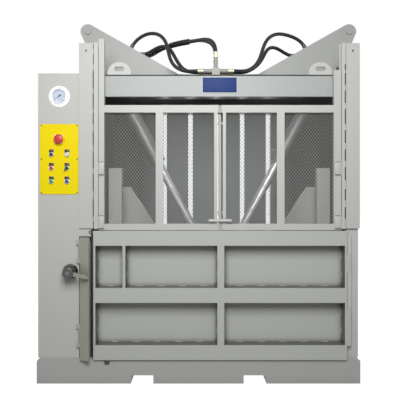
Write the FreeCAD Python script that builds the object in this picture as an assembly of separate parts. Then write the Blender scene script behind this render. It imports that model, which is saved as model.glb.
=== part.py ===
# A vertical recycling baler with two slanted hydraulic cylinders.
# The frame is +Z up and -Y towards the operator. The origin is the middle of the base, on the floor.
# "Depth" below is measured backwards from the front face of the bale chamber door.

import FreeCAD, Part
import math
import os

from FreeCAD import Vector

# ---------------------------------------------------------------- driving dimensions, millimetres

# Base and fork pockets
BASE_WIDTH = 1950.0
BASE_DEPTH = 960.0
BASE_HEIGHT = 155.0
BASE_SETBACK = 14.0
BASE_CHAMFER = 18.0
FORK_POCKET_WIDTH = 136.0
FORK_POCKET_HEIGHT = 50.0
FORK_POCKET_SPACING = 680.0

# Bale chamber
CHAMBER_WIDTH = 1524.0
CHAMBER_DEPTH = 762.0
CHAMBER_OFFSET = 130.0
FLOOR_THICKNESS = 25.0
WALL = 12.0
SIDE_TOP = 1735.0
STRAP_SLOT_WIDTH = 34.0
STRAP_SLOT_PITCH = 192.0
STRAP_SLOT_COUNT = 5
STRAP_GROOVE_DEPTH = 12.0
STRAP_LIP_DEPTH = 60.0
STRAP_LIP_WALL = 6.0

# Side frames
COLUMN_WIDTH = 60.0
COLUMN_DEPTH = 80.0
RAIL_HEIGHT = 60.0
MID_RAIL_LEVEL = 900.0
HINGE_COLUMN_WIDTH = 72.0

# Top beams and the crosshead that carries the cylinders
BEAM_FRONT_DEPTH = 50.0
BEAM_THICKNESS = 98.0
BEAM_HEIGHT = 129.0
BEAM_WALL = 8.0
CROSSHEAD_PLATE = 12.0
CROSSHEAD_MID_HEIGHT = 200.0
SPACER_HALF_WIDTH = 120.0
SPACER_MARGIN = 25.0
CROSSHEAD_MID_HALF_WIDTH = 262.0
CROSSHEAD_SIDE_DROP = 177.0
EAR_RADIUS = 48.0
EAR_HEIGHT = 2216.0
EAR_HALF_SPAN = 860.0
LUG_WIDTH = 143.0
LUG_HEIGHT = 81.0
LUG_THICKNESS = 15.0
LUG_SLOT_WIDTH = 61.0
LUG_SLOT_HEIGHT = 26.0
LUG_SLOT_RISE = 26.0
LUG_HALF_SPAN = 612.0

# Cylinders
CYLINDER_PIN_RADIUS = 20.0
PIN_HEAD_RADIUS = 27.0
PIN_HEAD = 9.0
EYE_WIDTH = 40.0
EYE_RADIUS = 36.0
EYE_SHOULDER_DROP = 6.0
CYLINDER_PITCH = 64.0
BARREL_RADIUS = 47.5
BARREL_BORE = 40.0
BARREL_LENGTH = 977.0
BARREL_CAP = 62.0
GLAND_LENGTH = 46.0
GLAND_PROUD = 4.0
ROD_RADIUS = 28.0
ROD_NECK_LENGTH = 70.0
PISTON_LENGTH = 42.0
PISTON_GAP = 60.0
RUNNING_FIT = 0.05
PLATE_FIT = 0.3
CROSSHEAD_SIDE_GAP = 4.5
PORT_RADIUS = 14.0
PORT_HEIGHT = 16.0
PORT_INSET = 26.0

# Platen
PLATEN_CLEARANCE = 12.0
PLATEN_UNDERSIDE = 530.0
PLATEN_HEIGHT = 120.0
PLATEN_SKIN = 22.0
PLATEN_RIB = 14.0
PLATEN_FRONT_GAP = 14.0
ROD_PIN_SPREAD = 50.0
ROD_PIN_RISE = 50.0
CHEEK_THICKNESS = 16.0
CHEEK_HALF_WIDTH = 150.0
CHEEK_HEIGHT = 92.0
CHEEK_GAP = 7.0
MAST_WIDTH = 82.0
MAST_DEPTH = 60.0
MAST_WALL = 8.0
MAST_INSET = 70.0
MAST_HEIGHT = 655.0
MAST_SETBACK = 156.0
WING_DEPTH = 345.0
WING_TOP_WIDTH = 36.0
WING_HEIGHT = 541.0
WING_REACH = 197.0
WING_TOE_SHARE = 0.45

# Sliding gate
GATE_UNDERSIDE = 924.0
GATE_RAIL_TOP = 1677.0
GATE_LEFT_TOP = 2076.0
GATE_RIGHT_TOP = 1888.0
GATE_BOTTOM_RAIL = 39.0
GATE_TOP_RAIL = 45.0
GATE_LEFT_MEMBER = 34.0
GATE_RIGHT_MEMBER = 44.0
GATE_FRONT = 8.4
GATE_BACK = 43.6
GATE_LEFT_GAP = 28.0
GATE_RIGHT_GAP = 25.1
GATE_STILE = 46.0
GATE_STILE_HALF_SPAN = 365.0
GATE_MID_STILE = 20.0
GATE_MID_HALF_SPAN = 26.0
GATE_STILE_THICKNESS = 20.0
MESH_THICKNESS = 3.0
MESH_BORDER = 12.0
MESH_STRAND = 9.0
MESH_COLUMNS = 5
MESH_ROWS = 13
SHOE_HEIGHT = 76.0
SHOE_REACH = 19.6
SHOE_PAD = 6.0
SHOE_LEVELS = (935.0, 1258.0)
LATCH_ROD_RADIUS = 8.0
LATCH_ROD_TOP = 1621.0
LATCH_HANDLE_LENGTH = 139.0
LATCH_HANDLE_RADIUS = 10.0
LATCH_HANDLE_LEVEL = 982.0
LATCH_TRAVEL = 9.0
LATCH_CLIP_HEIGHT = 14.0

# Gate guides and counterweight boxes
GUIDE_LEFT_GAP = 7.0
GUIDE_RIGHT_GAP = 4.4
GUIDE_WALL = 6.0
GUIDE_LEFT_WEB = 7.4
GUIDE_RIGHT_WEB = 5.0
GUIDE_FRONT = 2.0
GUIDE_LIP_GAP = 2.0
GUIDE_LEFT_BACK = 62.0
GUIDE_RIGHT_BACK = 30.0
GUIDE_STOP = 3.0
SEAT_GAP = 0.3
STITCH_PITCH = 91.0
STITCH_LENGTH = 36.0
BOX_WIDTH = 84.0
BOX_OVERLAP = 4.0
BOX_FRONT = 15.0
BOX_WALL = 5.0
BOX_BOTTOM = 934.0
BOX_TOP = 2052.0
PULLEY_LEVEL = 2006.0
PULLEY_RADIUS = 32.0
PULLEY_WIDTH = 20.0
PULLEY_GROOVE = 6.0
PULLEY_AXLE = 8.0
WEIGHT_HEIGHT = 250.0
WEIGHT_LEVEL = 1700.0
WEIGHT_CLEARANCE = 0.5

# Chamber door
DOOR_BOTTOM = 144.8
DOOR_TOP = 921.0
DOOR_THICKNESS = 108.0
DOOR_SKIN = 14.0
DOOR_RAIL = 90.0
DOOR_END_PLATE = 13.0
DOOR_CENTRE_RIB = 42.0
DOOR_CENTRE_RIB_OFFSET = 4.0
DOOR_SMALL_RIB = 17.0
DOOR_SMALL_RIB_OFFSET = 163.0
DOOR_NOTCH_GAP = 4.0
HINGE_RADIUS = 12.0
HINGE_PIN = 7.0
HINGE_LEVELS = (230.0, 452.0, 668.0, 782.0, 899.0)
HINGE_LEAF = 6.0
HINGE_KNUCKLE_GAP = 0.6
DOOR_REST_INSET = 66.0
DOOR_REST_WIDTH = 30.0
DOOR_REST_HEIGHT = 23.0

# Cabinet
CABINET_WIDTH = 248.0
CABINET_GAP = 16.0
CABINET_FRONT = 22.0
CABINET_DEPTH = 638.0
CABINET_TOP = 1870.0
CABINET_SHEET = 3.0
CABINET_RETURN = 24.0
COVER_SHEET = 2.0
COVER_LAP = 12.0
LOUVRE_COUNT = 6
LOUVRE_PITCH = 36.0
LOUVRE_LENGTH = 300.0
LOUVRE_LEVEL = 420.0
TANK_WIDTH = 216.0
TANK_DEPTH = 560.0
TANK_HEIGHT = 390.0
TANK_LID = 8.0
MOTOR_RADIUS = 80.0
MOTOR_LENGTH = 270.0
MOTOR_FIN = 8.0
MOTOR_FIN_COUNT = 16
PUMP_RADIUS = 42.0
BELL_RADIUS = 66.0
BELL_LENGTH = 70.0
PUMP_LENGTH = 80.0
PANEL_MARGIN = 90.0
PANEL_DROP = 190.0
PANEL_HEIGHT = 560.0
PANEL_SHEET = 3.0
PANEL_RAIL = 35.0
PANEL_RAIL_PROUD = 9.0
CONTACTOR_DEPTH = 72.0
CONTACTOR_LENGTH = 70.0
CONTACTOR_HEIGHT = 84.0
CONTACTOR_GAP = 26.0

# Controls
PLATE_WIDTH = 232.0
PLATE_HEIGHT = 423.0
PLATE_BOTTOM = 1141.0
PLATE_INSET = 120.0
PLATE_THICKNESS = 3.0
BUTTON_SPREAD = 47.0
BUTTON_LEVELS = (1380.0, 1298.5, 1217.0)
BUTTON_RADIUS = 10.8
BEZEL_RADIUS = 15.0
BEZEL_DEPTH = 9.0
BUTTON_GAP = 0.3
BUTTON_PROUD = 5.0
BUTTON_LENGTH = 40.0
STOP_LEVEL = 1472.5
STOP_HEAD_RADIUS = 20.0
STOP_HEAD = 14.0
STOP_COLLAR_RADIUS = 29.0
STOP_TRAVEL = 5.0
SELECTOR_LEVER = 17.0
SELECTOR_ANGLE = 225.0
GAUGE_LEVEL = 1730.0
GAUGE_FLANGE_RADIUS = 62.0
GAUGE_DIAL_RADIUS = 43.0
GAUGE_PROUD = 20.0
GAUGE_BACK = 34.0
GAUGE_SPINDLE = 1.5
NEEDLE_LENGTH = 30.0
NEEDLE_ANGLE = 220.0

# Lock beside the door
LOCK_AXIS_DEPTH = 7.0
LOCK_AXIS_INSET = 4.0
LOCK_BAR_WIDTH = 74.0
LOCK_BAR_THICKNESS = 12.0
LOCK_BAR_BOTTOM = 146.0
LOCK_BAR_TOP = 882.0
LOCK_BAR_ANGLE = 30.0
LOCK_KNUCKLE_RADIUS = 6.0
LOCK_PIN_RADIUS = 3.5
LOCK_KNUCKLE_LEVELS = (250.0, 330.0, 756.0, 836.0)
LOCK_BRACKET = 30.0
LOCK_SHELF_GAP = 4.0
LOCK_HUB_INSET = 52.0
LOCK_HUB_LEVEL = 675.0
LOCK_HUB_RADIUS = 47.0
LOCK_HUB_DEPTH = 60.0
LOCK_SPINDLE_RADIUS = 12.0
LEVER_DEPTH = 78.0
LEVER_THICKNESS = 16.0
LEVER_LENGTH = 124.0
LEVER_ANGLE = -12.6
LEVER_ROOT = 13.0
LEVER_TIP = 10.5
LEVER_BOSS = 34.0

# Hydraulic fittings and hoses
HOSE_RADIUS = 10.0
FITTING_RADIUS = 12.5
HOSE_BEND_SHARE = 0.45
TEE_HALF_LENGTH = 78.0
TEE_X = 106.0
TEE_RISE = 32.0
TEE_STUB_RISE = 84.0
TEE_STUB_STEP = 22.0
TEE_LEAD = 40.0
TEE_DEPTHS = (78.0, 120.0)
BULKHEAD_HALF_SPAN = 544.0
BULKHEAD_WIDTH = 66.0
BULKHEAD_HEIGHT = 34.0
BULKHEAD_BEVEL = 46.0
PORT_DEPTHS = (410.0, 450.0, 490.0)
FITTING_LENGTH = 26.0
ARCH_PORT_ANGLE = 60.0
HOSE_LEAD = 34.0

# ---------------------------------------------------------------- derived places

FRONT = -(BASE_SETBACK + BASE_DEPTH / 2)
CHAMBER_LEFT = CHAMBER_OFFSET - CHAMBER_WIDTH / 2
CHAMBER_RIGHT = CHAMBER_OFFSET + CHAMBER_WIDTH / 2
CHAMBER_FRONT = DOOR_THICKNESS + DOOR_NOTCH_GAP
CHAMBER_BACK = CHAMBER_FRONT + CHAMBER_DEPTH
BOX_BACK = CHAMBER_FRONT
FLOOR_TOP = BASE_HEIGHT + FLOOR_THICKNESS
SIDE_OUTER_LEFT = CHAMBER_LEFT - WALL - COLUMN_WIDTH
SIDE_OUTER_RIGHT = CHAMBER_RIGHT + WALL + COLUMN_WIDTH
CABINET_RIGHT = SIDE_OUTER_LEFT - CABINET_GAP
PLATE_CENTRE = CABINET_RIGHT - PLATE_INSET
LOCK_AXIS_X = CABINET_RIGHT + LOCK_AXIS_INSET
LOCK_HUB_X = CABINET_RIGHT - LOCK_HUB_INSET
RIGHT_BOX_LEFT = CHAMBER_RIGHT - BOX_OVERLAP
BOX_SPANS = ((CABINET_RIGHT, CABINET_RIGHT + BOX_WIDTH), (RIGHT_BOX_LEFT, RIGHT_BOX_LEFT + BOX_WIDTH))
GUIDE_LEFT_EDGE = BOX_SPANS[0][1] + GUIDE_LEFT_GAP
GUIDE_RIGHT_EDGE = RIGHT_BOX_LEFT - GUIDE_RIGHT_GAP
GATE_LEFT_EDGE = GUIDE_LEFT_EDGE + GATE_LEFT_GAP
GATE_RIGHT_EDGE = GUIDE_RIGHT_EDGE - GATE_RIGHT_GAP
BEAM_TOP = SIDE_TOP + BEAM_HEIGHT
BEAM_BACK = BEAM_FRONT_DEPTH + BEAM_THICKNESS
CYLINDER_MID_DEPTH = CHAMBER_FRONT + 345.0
CYLINDER_DEPTHS = (CYLINDER_MID_DEPTH - CYLINDER_PITCH / 2, CYLINDER_MID_DEPTH + CYLINDER_PITCH / 2)
CROSSHEAD_FRONT_INNER = CYLINDER_DEPTHS[0] - BARREL_RADIUS - CROSSHEAD_SIDE_GAP
CROSSHEAD_REAR_INNER = CYLINDER_DEPTHS[1] + BARREL_RADIUS + CROSSHEAD_SIDE_GAP
PLATEN_TOP = PLATEN_UNDERSIDE + PLATEN_HEIGHT
ROD_PIN_LEVEL = PLATEN_TOP + ROD_PIN_RISE
EAR_DROP = EAR_HEIGHT - ROD_PIN_LEVEL
EAR_RUN = EAR_HALF_SPAN - ROD_PIN_SPREAD
CYLINDER_ANGLE = math.degrees(math.atan2(EAR_RUN, EAR_DROP))
CYLINDER_REACH = math.hypot(EAR_RUN, EAR_DROP)
HINGE_X = CHAMBER_RIGHT + HINGE_RADIUS
HINGE_DEPTH = HINGE_RADIUS
CONTROL_FACE = CABINET_FRONT - PLATE_THICKNESS
EAR_X = CHAMBER_OFFSET - EAR_HALF_SPAN
CROSSHEAD_MID_X = CHAMBER_OFFSET - CROSSHEAD_MID_HALF_WIDTH
CROSSHEAD_MID_TOP = SIDE_TOP + CROSSHEAD_MID_HEIGHT
CROSSHEAD_SIDE_TOP = EAR_HEIGHT - CROSSHEAD_SIDE_DROP
STRAP_SLOT_CENTRES = [
    CHAMBER_OFFSET + STRAP_SLOT_PITCH * (number - (STRAP_SLOT_COUNT - 1) / 2)
    for number in range(STRAP_SLOT_COUNT)
]

# ---------------------------------------------------------------- helpers


def at(x, depth, z):
    """Give the point at a side place, a depth behind the door's face and a height."""
    return Vector(x, FRONT + depth, z)


def block(x_span, depth_span, z_span):
    """Make a square-edged block from its three spans."""
    size = [abs(span[1] - span[0]) for span in (x_span, depth_span, z_span)]
    return Part.makeBox(size[0], size[1], size[2], at(min(x_span), min(depth_span), min(z_span)))


def plate(points, depth_span):
    """Make a plate that faces the operator from its outline of (x, z) points."""
    corners = [at(x, depth_span[0], z) for x, z in points]
    face = Part.Face(Part.makePolygon(corners + corners[:1]))
    return face.extrude(Vector(0, depth_span[1] - depth_span[0], 0))


def round_y(x, z, radius, depth_span):
    """Make a round bar whose axis runs front to back."""
    return Part.makeCylinder(radius, depth_span[1] - depth_span[0], at(x, depth_span[0], z), Vector(0, 1, 0))


def round_z(x, depth, radius, z_span):
    """Make an upright round bar."""
    return Part.makeCylinder(radius, z_span[1] - z_span[0], at(x, depth, z_span[0]), Vector(0, 0, 1))


def round_x(depth, z, radius, x_span):
    """Make a round bar whose axis runs from side to side."""
    return Part.makeCylinder(radius, x_span[1] - x_span[0], at(x_span[0], depth, z), Vector(1, 0, 0))


def joined(shapes):
    """Weld several shapes into one solid."""
    return shapes[0].multiFuse(shapes[1:]).removeSplitter() if len(shapes) > 1 else shapes[0]


def loose(shapes):
    """Keep several separate solids together in one part."""
    return Part.makeCompound(shapes)


def mirrored(shape):
    """Mirror a shape about the middle plane of the bale chamber."""
    return shape.mirror(Vector(CHAMBER_OFFSET, 0, 0), Vector(1, 0, 0))


# ---------------------------------------------------------------- base and chamber


def base_frame():
    half = BASE_WIDTH / 2
    outline = [(-half, 0)]
    for side in (-1, 1):
        centre = side * FORK_POCKET_SPACING / 2
        near = centre - FORK_POCKET_WIDTH / 2
        far = centre + FORK_POCKET_WIDTH / 2
        outline += [(near, 0), (near, FORK_POCKET_HEIGHT), (far, FORK_POCKET_HEIGHT), (far, 0)]
    shoulder = BASE_HEIGHT - BASE_CHAMFER
    outline += [(half, 0), (half, shoulder), (half - BASE_CHAMFER, BASE_HEIGHT)]
    outline += [(BASE_CHAMFER - half, BASE_HEIGHT), (-half, shoulder)]
    body = plate(outline, (BASE_SETBACK, BASE_SETBACK + BASE_DEPTH))
    door_seat = block(
        (CHAMBER_LEFT - 8.0, CHAMBER_RIGHT + 2.0),
        (0, CHAMBER_FRONT),
        (DOOR_BOTTOM - DOOR_NOTCH_GAP, BASE_HEIGHT + 1.0),
    )
    return body.cut(door_seat)


def chamber_floor():
    slab = block((CHAMBER_LEFT, CHAMBER_RIGHT), (CHAMBER_FRONT, CHAMBER_BACK), (BASE_HEIGHT, FLOOR_TOP))
    grooves = [
        block(
            (x - STRAP_SLOT_WIDTH / 2, x + STRAP_SLOT_WIDTH / 2),
            (CHAMBER_FRONT - 1.0, CHAMBER_BACK + 1.0),
            (FLOOR_TOP - STRAP_GROOVE_DEPTH, FLOOR_TOP + 1.0),
        )
        for x in STRAP_SLOT_CENTRES
    ]
    return slab.cut(Part.makeCompound(grooves))


def side_frame():
    """Make the left frame of columns and rails outside the chamber's side plate."""
    back = CHAMBER_BACK + WALL
    inner = CHAMBER_LEFT - WALL
    outer = SIDE_OUTER_LEFT
    pieces = [block((inner, CHAMBER_LEFT), (CHAMBER_FRONT, back), (BASE_HEIGHT, SIDE_TOP))]
    middle = (CROSSHEAD_FRONT_INNER - CROSSHEAD_PLATE, CROSSHEAD_REAR_INNER + CROSSHEAD_PLATE)
    for span in ((BOX_BACK, BOX_BACK + COLUMN_DEPTH), middle, (back - COLUMN_DEPTH, back)):
        pieces.append(block((outer, inner), span, (BASE_HEIGHT, SIDE_TOP)))
    for level in (BASE_HEIGHT, MID_RAIL_LEVEL, SIDE_TOP - RAIL_HEIGHT):
        pieces.append(block((outer, inner), (BOX_BACK, back), (level, level + RAIL_HEIGHT)))
    return joined(pieces)


def left_side_frame():
    """The left bay frame with the shelf that closes the corner above the lock bar."""
    shelf = block(
        (CABINET_RIGHT, CABINET_RIGHT + LOCK_BAR_WIDTH),
        (CABINET_FRONT, BOX_BACK),
        (LOCK_BAR_TOP + LOCK_SHELF_GAP, BOX_BOTTOM - LOCK_SHELF_GAP),
    )
    return joined([side_frame(), shelf])


def right_side_frame():
    face = HINGE_DEPTH + HINGE_RADIUS + HINGE_LEAF
    hinge_column = block(
        (CHAMBER_RIGHT + 1.0, CHAMBER_RIGHT + 1.0 + HINGE_COLUMN_WIDTH),
        (face, BOX_BACK),
        (BASE_HEIGHT, BOX_BOTTOM),
    )
    return joined([mirrored(side_frame()), hinge_column])


def rear_wall():
    face = (CHAMBER_BACK, CHAMBER_BACK + WALL)
    pieces = [block((CHAMBER_LEFT, CHAMBER_RIGHT), face, (BASE_HEIGHT, SIDE_TOP))]
    lips = (face[1], face[1] + STRAP_LIP_DEPTH)
    slot_bottom = FLOOR_TOP
    for x in STRAP_SLOT_CENTRES:
        for side in (-1, 1):
            near = x + side * STRAP_SLOT_WIDTH / 2
            pieces.append(block((near, near + side * STRAP_LIP_WALL), lips, (slot_bottom, SIDE_TOP)))
    pieces.append(block((CHAMBER_LEFT, CHAMBER_RIGHT), lips, (BASE_HEIGHT, slot_bottom)))
    slots = [
        block(
            (x - STRAP_SLOT_WIDTH / 2, x + STRAP_SLOT_WIDTH / 2),
            (face[0] - 1.0, face[1] + 1.0),
            (slot_bottom - STRAP_GROOVE_DEPTH, SIDE_TOP + 1.0),
        )
        for x in STRAP_SLOT_CENTRES
    ]
    return joined(pieces).cut(Part.makeCompound(slots))


def hollow_beam(x_span, depth_span):
    """Make a square tube that lies across the machine on top of the side frames."""
    tube = block(x_span, depth_span, (SIDE_TOP, BEAM_TOP))
    inside = block(
        (min(x_span) - 1.0, max(x_span) + 1.0),
        (depth_span[0] + BEAM_WALL, depth_span[1] - BEAM_WALL),
        (SIDE_TOP + BEAM_WALL, BEAM_TOP - BEAM_WALL),
    )
    return tube.cut(inside)


def front_top_beam():
    return hollow_beam((BOX_SPANS[0][1], RIGHT_BOX_LEFT), (BEAM_FRONT_DEPTH, BEAM_BACK))


def rear_top_beam():
    back = CHAMBER_BACK + WALL
    return hollow_beam((CHAMBER_LEFT - WALL, CHAMBER_RIGHT + WALL), (back - BEAM_THICKNESS, back))


# ---------------------------------------------------------------- crosshead and lifting lugs


def tangent_point(x, z, side):
    """Give where a line from (x, z) touches the left ear: side 1 is the ear's inner rim, -1 its outer rim."""
    run = EAR_X - x
    rise = EAR_HEIGHT - z
    to_ear = math.atan2(rise, run)
    spread = math.asin(EAR_RADIUS / math.hypot(run, rise))
    reach = math.sqrt(run**2 + rise**2 - EAR_RADIUS**2)
    way = to_ear - side * spread
    return x + reach * math.cos(way), z + reach * math.sin(way)


def crosshead_edge_level(x):
    """Give the height of the left sloping edge of the crosshead at a place across it."""
    top_x, top_z = tangent_point(CROSSHEAD_MID_X, CROSSHEAD_MID_TOP, 1)
    share = (CROSSHEAD_MID_X - x) / (CROSSHEAD_MID_X - top_x)
    return CROSSHEAD_MID_TOP + share * (top_z - CROSSHEAD_MID_TOP)


def crosshead_plate(depth_span):
    half = [
        (SIDE_OUTER_LEFT, SIDE_TOP),
        (SIDE_OUTER_LEFT, CROSSHEAD_SIDE_TOP),
        tangent_point(SIDE_OUTER_LEFT, CROSSHEAD_SIDE_TOP, -1),
        (EAR_X, EAR_HEIGHT),
        tangent_point(CROSSHEAD_MID_X, CROSSHEAD_MID_TOP, 1),
        (CROSSHEAD_MID_X, CROSSHEAD_MID_TOP),
    ]
    other = [(2 * CHAMBER_OFFSET - x, z) for x, z in reversed(half)]
    body = plate(half + other, depth_span)
    for side in (-1, 1):
        x = CHAMBER_OFFSET + side * EAR_HALF_SPAN
        body = body.fuse(round_y(x, EAR_HEIGHT, EAR_RADIUS, depth_span))
    body = body.removeSplitter()
    for side in (-1, 1):
        x = CHAMBER_OFFSET + side * EAR_HALF_SPAN
        body = body.cut(round_y(x, EAR_HEIGHT, CYLINDER_PIN_RADIUS + PLATE_FIT, depth_span))
    return body


def front_crosshead_plate():
    return crosshead_plate((CROSSHEAD_FRONT_INNER - CROSSHEAD_PLATE, CROSSHEAD_FRONT_INNER))


def crosshead_spacer():
    """The short tube that holds the two crosshead plates apart, welded to the rear one."""
    span = (CHAMBER_OFFSET - SPACER_HALF_WIDTH, CHAMBER_OFFSET + SPACER_HALF_WIDTH)
    levels = (SIDE_TOP + SPACER_MARGIN, CROSSHEAD_MID_TOP - SPACER_MARGIN)
    depths = (CROSSHEAD_FRONT_INNER, CROSSHEAD_REAR_INNER)
    tube = block(span, depths, levels)
    inside = block(
        (span[0] + BEAM_WALL, span[1] - BEAM_WALL),
        (depths[0] - 1.0, depths[1] + 1.0),
        (levels[0] + BEAM_WALL, levels[1] - BEAM_WALL),
    )
    return tube.cut(inside)


def rear_crosshead_plate():
    plate_solid = crosshead_plate((CROSSHEAD_REAR_INNER, CROSSHEAD_REAR_INNER + CROSSHEAD_PLATE))
    return joined([plate_solid, crosshead_spacer()])


def cylinder_pins():
    pins = []
    for side in (-1, 1):
        x = CHAMBER_OFFSET + side * EAR_HALF_SPAN
        front = CROSSHEAD_FRONT_INNER - CROSSHEAD_PLATE
        back = CROSSHEAD_REAR_INNER + CROSSHEAD_PLATE
        shank = round_y(x, EAR_HEIGHT, CYLINDER_PIN_RADIUS, (front - PIN_HEAD, back + PIN_HEAD))
        keeper = round_y(x, EAR_HEIGHT, PIN_HEAD_RADIUS, (back, back + PIN_HEAD))
        pins.append(shank.fuse(keeper).removeSplitter())
    return loose(pins)


def lifting_lugs():
    lugs = []
    for side in (-1, 1):
        x = CHAMBER_OFFSET + side * LUG_HALF_SPAN
        half = LUG_WIDTH / 2
        depths = (BEAM_FRONT_DEPTH, BEAM_FRONT_DEPTH + LUG_THICKNESS)
        crown = BEAM_TOP + LUG_HEIGHT
        shoulder = BEAM_TOP + LUG_HEIGHT * 0.35
        edges = [
            Part.makeLine(at(x - half, depths[0], BEAM_TOP), at(x + half, depths[0], BEAM_TOP)),
            Part.makeLine(at(x + half, depths[0], BEAM_TOP), at(x + half, depths[0], shoulder)),
            Part.Arc(
                at(x + half, depths[0], shoulder), at(x, depths[0], crown), at(x - half, depths[0], shoulder)
            ).toShape(),
            Part.makeLine(at(x - half, depths[0], shoulder), at(x - half, depths[0], BEAM_TOP)),
        ]
        lug = Part.Face(Part.Wire(edges)).extrude(Vector(0, LUG_THICKNESS, 0))
        reach = (LUG_SLOT_WIDTH - LUG_SLOT_HEIGHT) / 2
        middle = BEAM_TOP + LUG_SLOT_RISE + LUG_SLOT_HEIGHT / 2
        through = (depths[0] - 1.0, depths[1] + 1.0)
        slot_levels = (middle - LUG_SLOT_HEIGHT / 2, middle + LUG_SLOT_HEIGHT / 2)
        slot = block((x - reach, x + reach), through, slot_levels)
        for end in (x - reach, x + reach):
            slot = slot.fuse(round_y(end, middle, LUG_SLOT_HEIGHT / 2, through))
        lugs.append(lug.cut(slot.removeSplitter()))
    return loose(lugs)


# ---------------------------------------------------------------- cylinders and platen


def along_left_cylinder(shape, number):
    """Turn a shape drawn below the origin to the left cylinder's line, or mirror it to the right one."""
    turned = shape.copy()
    turned.rotate(Vector(0, 0, 0), Vector(0, 1, 0), -CYLINDER_ANGLE)
    turned.translate(at(EAR_X, CYLINDER_DEPTHS[number], EAR_HEIGHT))
    return turned if number == 0 else mirrored(turned)


def eye(level, bore):
    """Make the round eye at the end of a cylinder or rod, with its axis front to back."""
    start = Vector(0, -EYE_WIDTH / 2, level)
    ring = Part.makeCylinder(EYE_RADIUS, EYE_WIDTH, start, Vector(0, 1, 0))
    hole = Part.makeCylinder(bore, EYE_WIDTH, start, Vector(0, 1, 0))
    return ring, hole


def barrel(number):
    down = Vector(0, 0, -1)
    ring, hole = eye(0, CYLINDER_PIN_RADIUS + RUNNING_FIT)
    tube_top = Vector(0, 0, -BARREL_CAP / 2)
    tube = Part.makeCylinder(BARREL_RADIUS, BARREL_LENGTH - BARREL_CAP / 2, tube_top, down)
    gland = Part.makeCylinder(
        BARREL_RADIUS + GLAND_PROUD, GLAND_LENGTH, Vector(0, 0, GLAND_LENGTH - BARREL_LENGTH), down
    )
    gland = gland.makeChamfer(GLAND_PROUD / 2, gland.Edges)
    pieces = [tube, ring, gland]
    for level in (BARREL_CAP + PORT_INSET, BARREL_LENGTH - GLAND_LENGTH - PORT_INSET):
        foot = Vector(0, 0, -level)
        pieces.append(Part.makeCylinder(PORT_RADIUS, BARREL_RADIUS + PORT_HEIGHT, foot, Vector(1, 0, 0)))
    body = joined(pieces)
    inside = Part.makeCylinder(
        BARREL_BORE, BARREL_LENGTH - BARREL_CAP - GLAND_LENGTH, Vector(0, 0, -BARREL_CAP), down
    )
    guide = Part.makeCylinder(ROD_RADIUS + RUNNING_FIT, BARREL_LENGTH, Vector(0, 0, -BARREL_CAP), down)
    slit_corner = Vector(-BARREL_RADIUS, EYE_WIDTH / 2, -BARREL_CAP / 2 - EYE_SHOULDER_DROP)
    slit = Part.makeBox(2 * BARREL_RADIUS, BARREL_RADIUS, BARREL_CAP, slit_corner)
    slits = [slit, slit.mirror(Vector(0, 0, 0), Vector(0, 1, 0))]
    return along_left_cylinder(body.cut(Part.makeCompound([inside, guide, hole] + slits)), number)


def rod(number):
    down = Vector(0, 0, -1)
    piston_top = BARREL_LENGTH - GLAND_LENGTH - PISTON_GAP - PISTON_LENGTH
    piston = Part.makeCylinder(BARREL_BORE - RUNNING_FIT, PISTON_LENGTH, Vector(0, 0, -piston_top), down)
    shank_end = CYLINDER_REACH - ROD_NECK_LENGTH
    shank = Part.makeCylinder(ROD_RADIUS, shank_end - piston_top, Vector(0, 0, -piston_top), down)
    neck = Part.makeCylinder(EYE_WIDTH / 2, ROD_NECK_LENGTH, Vector(0, 0, -shank_end), down)
    ring, hole = eye(-CYLINDER_REACH, CYLINDER_PIN_RADIUS + RUNNING_FIT)
    return along_left_cylinder(joined([piston, shank, neck, ring]).cut(hole), number)


def platen():
    sides = (CHAMBER_LEFT + PLATEN_CLEARANCE, CHAMBER_RIGHT - PLATEN_CLEARANCE)
    depths = (CHAMBER_FRONT + PLATEN_FRONT_GAP, CHAMBER_BACK - PLATEN_CLEARANCE)
    body = block(sides, depths, (PLATEN_UNDERSIDE, PLATEN_TOP))
    cuts = []
    edges = [sides[0]] + STRAP_SLOT_CENTRES + [sides[1]]
    for left, right in zip(edges[:-1], edges[1:]):
        pocket = (left + PLATEN_RIB, right - PLATEN_RIB)
        span = (depths[0] + PLATEN_RIB, depths[1] - PLATEN_RIB)
        cuts.append(block(pocket, span, (PLATEN_UNDERSIDE + PLATEN_SKIN, PLATEN_TOP + 1.0)))
    for x in STRAP_SLOT_CENTRES:
        groove = (x - STRAP_SLOT_WIDTH / 2, x + STRAP_SLOT_WIDTH / 2)
        through = (depths[0] - 1.0, depths[1] + 1.0)
        cuts.append(block(groove, through, (PLATEN_UNDERSIDE - 1.0, PLATEN_UNDERSIDE + STRAP_GROOVE_DEPTH)))
    return body.cut(Part.makeCompound(cuts))


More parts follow.
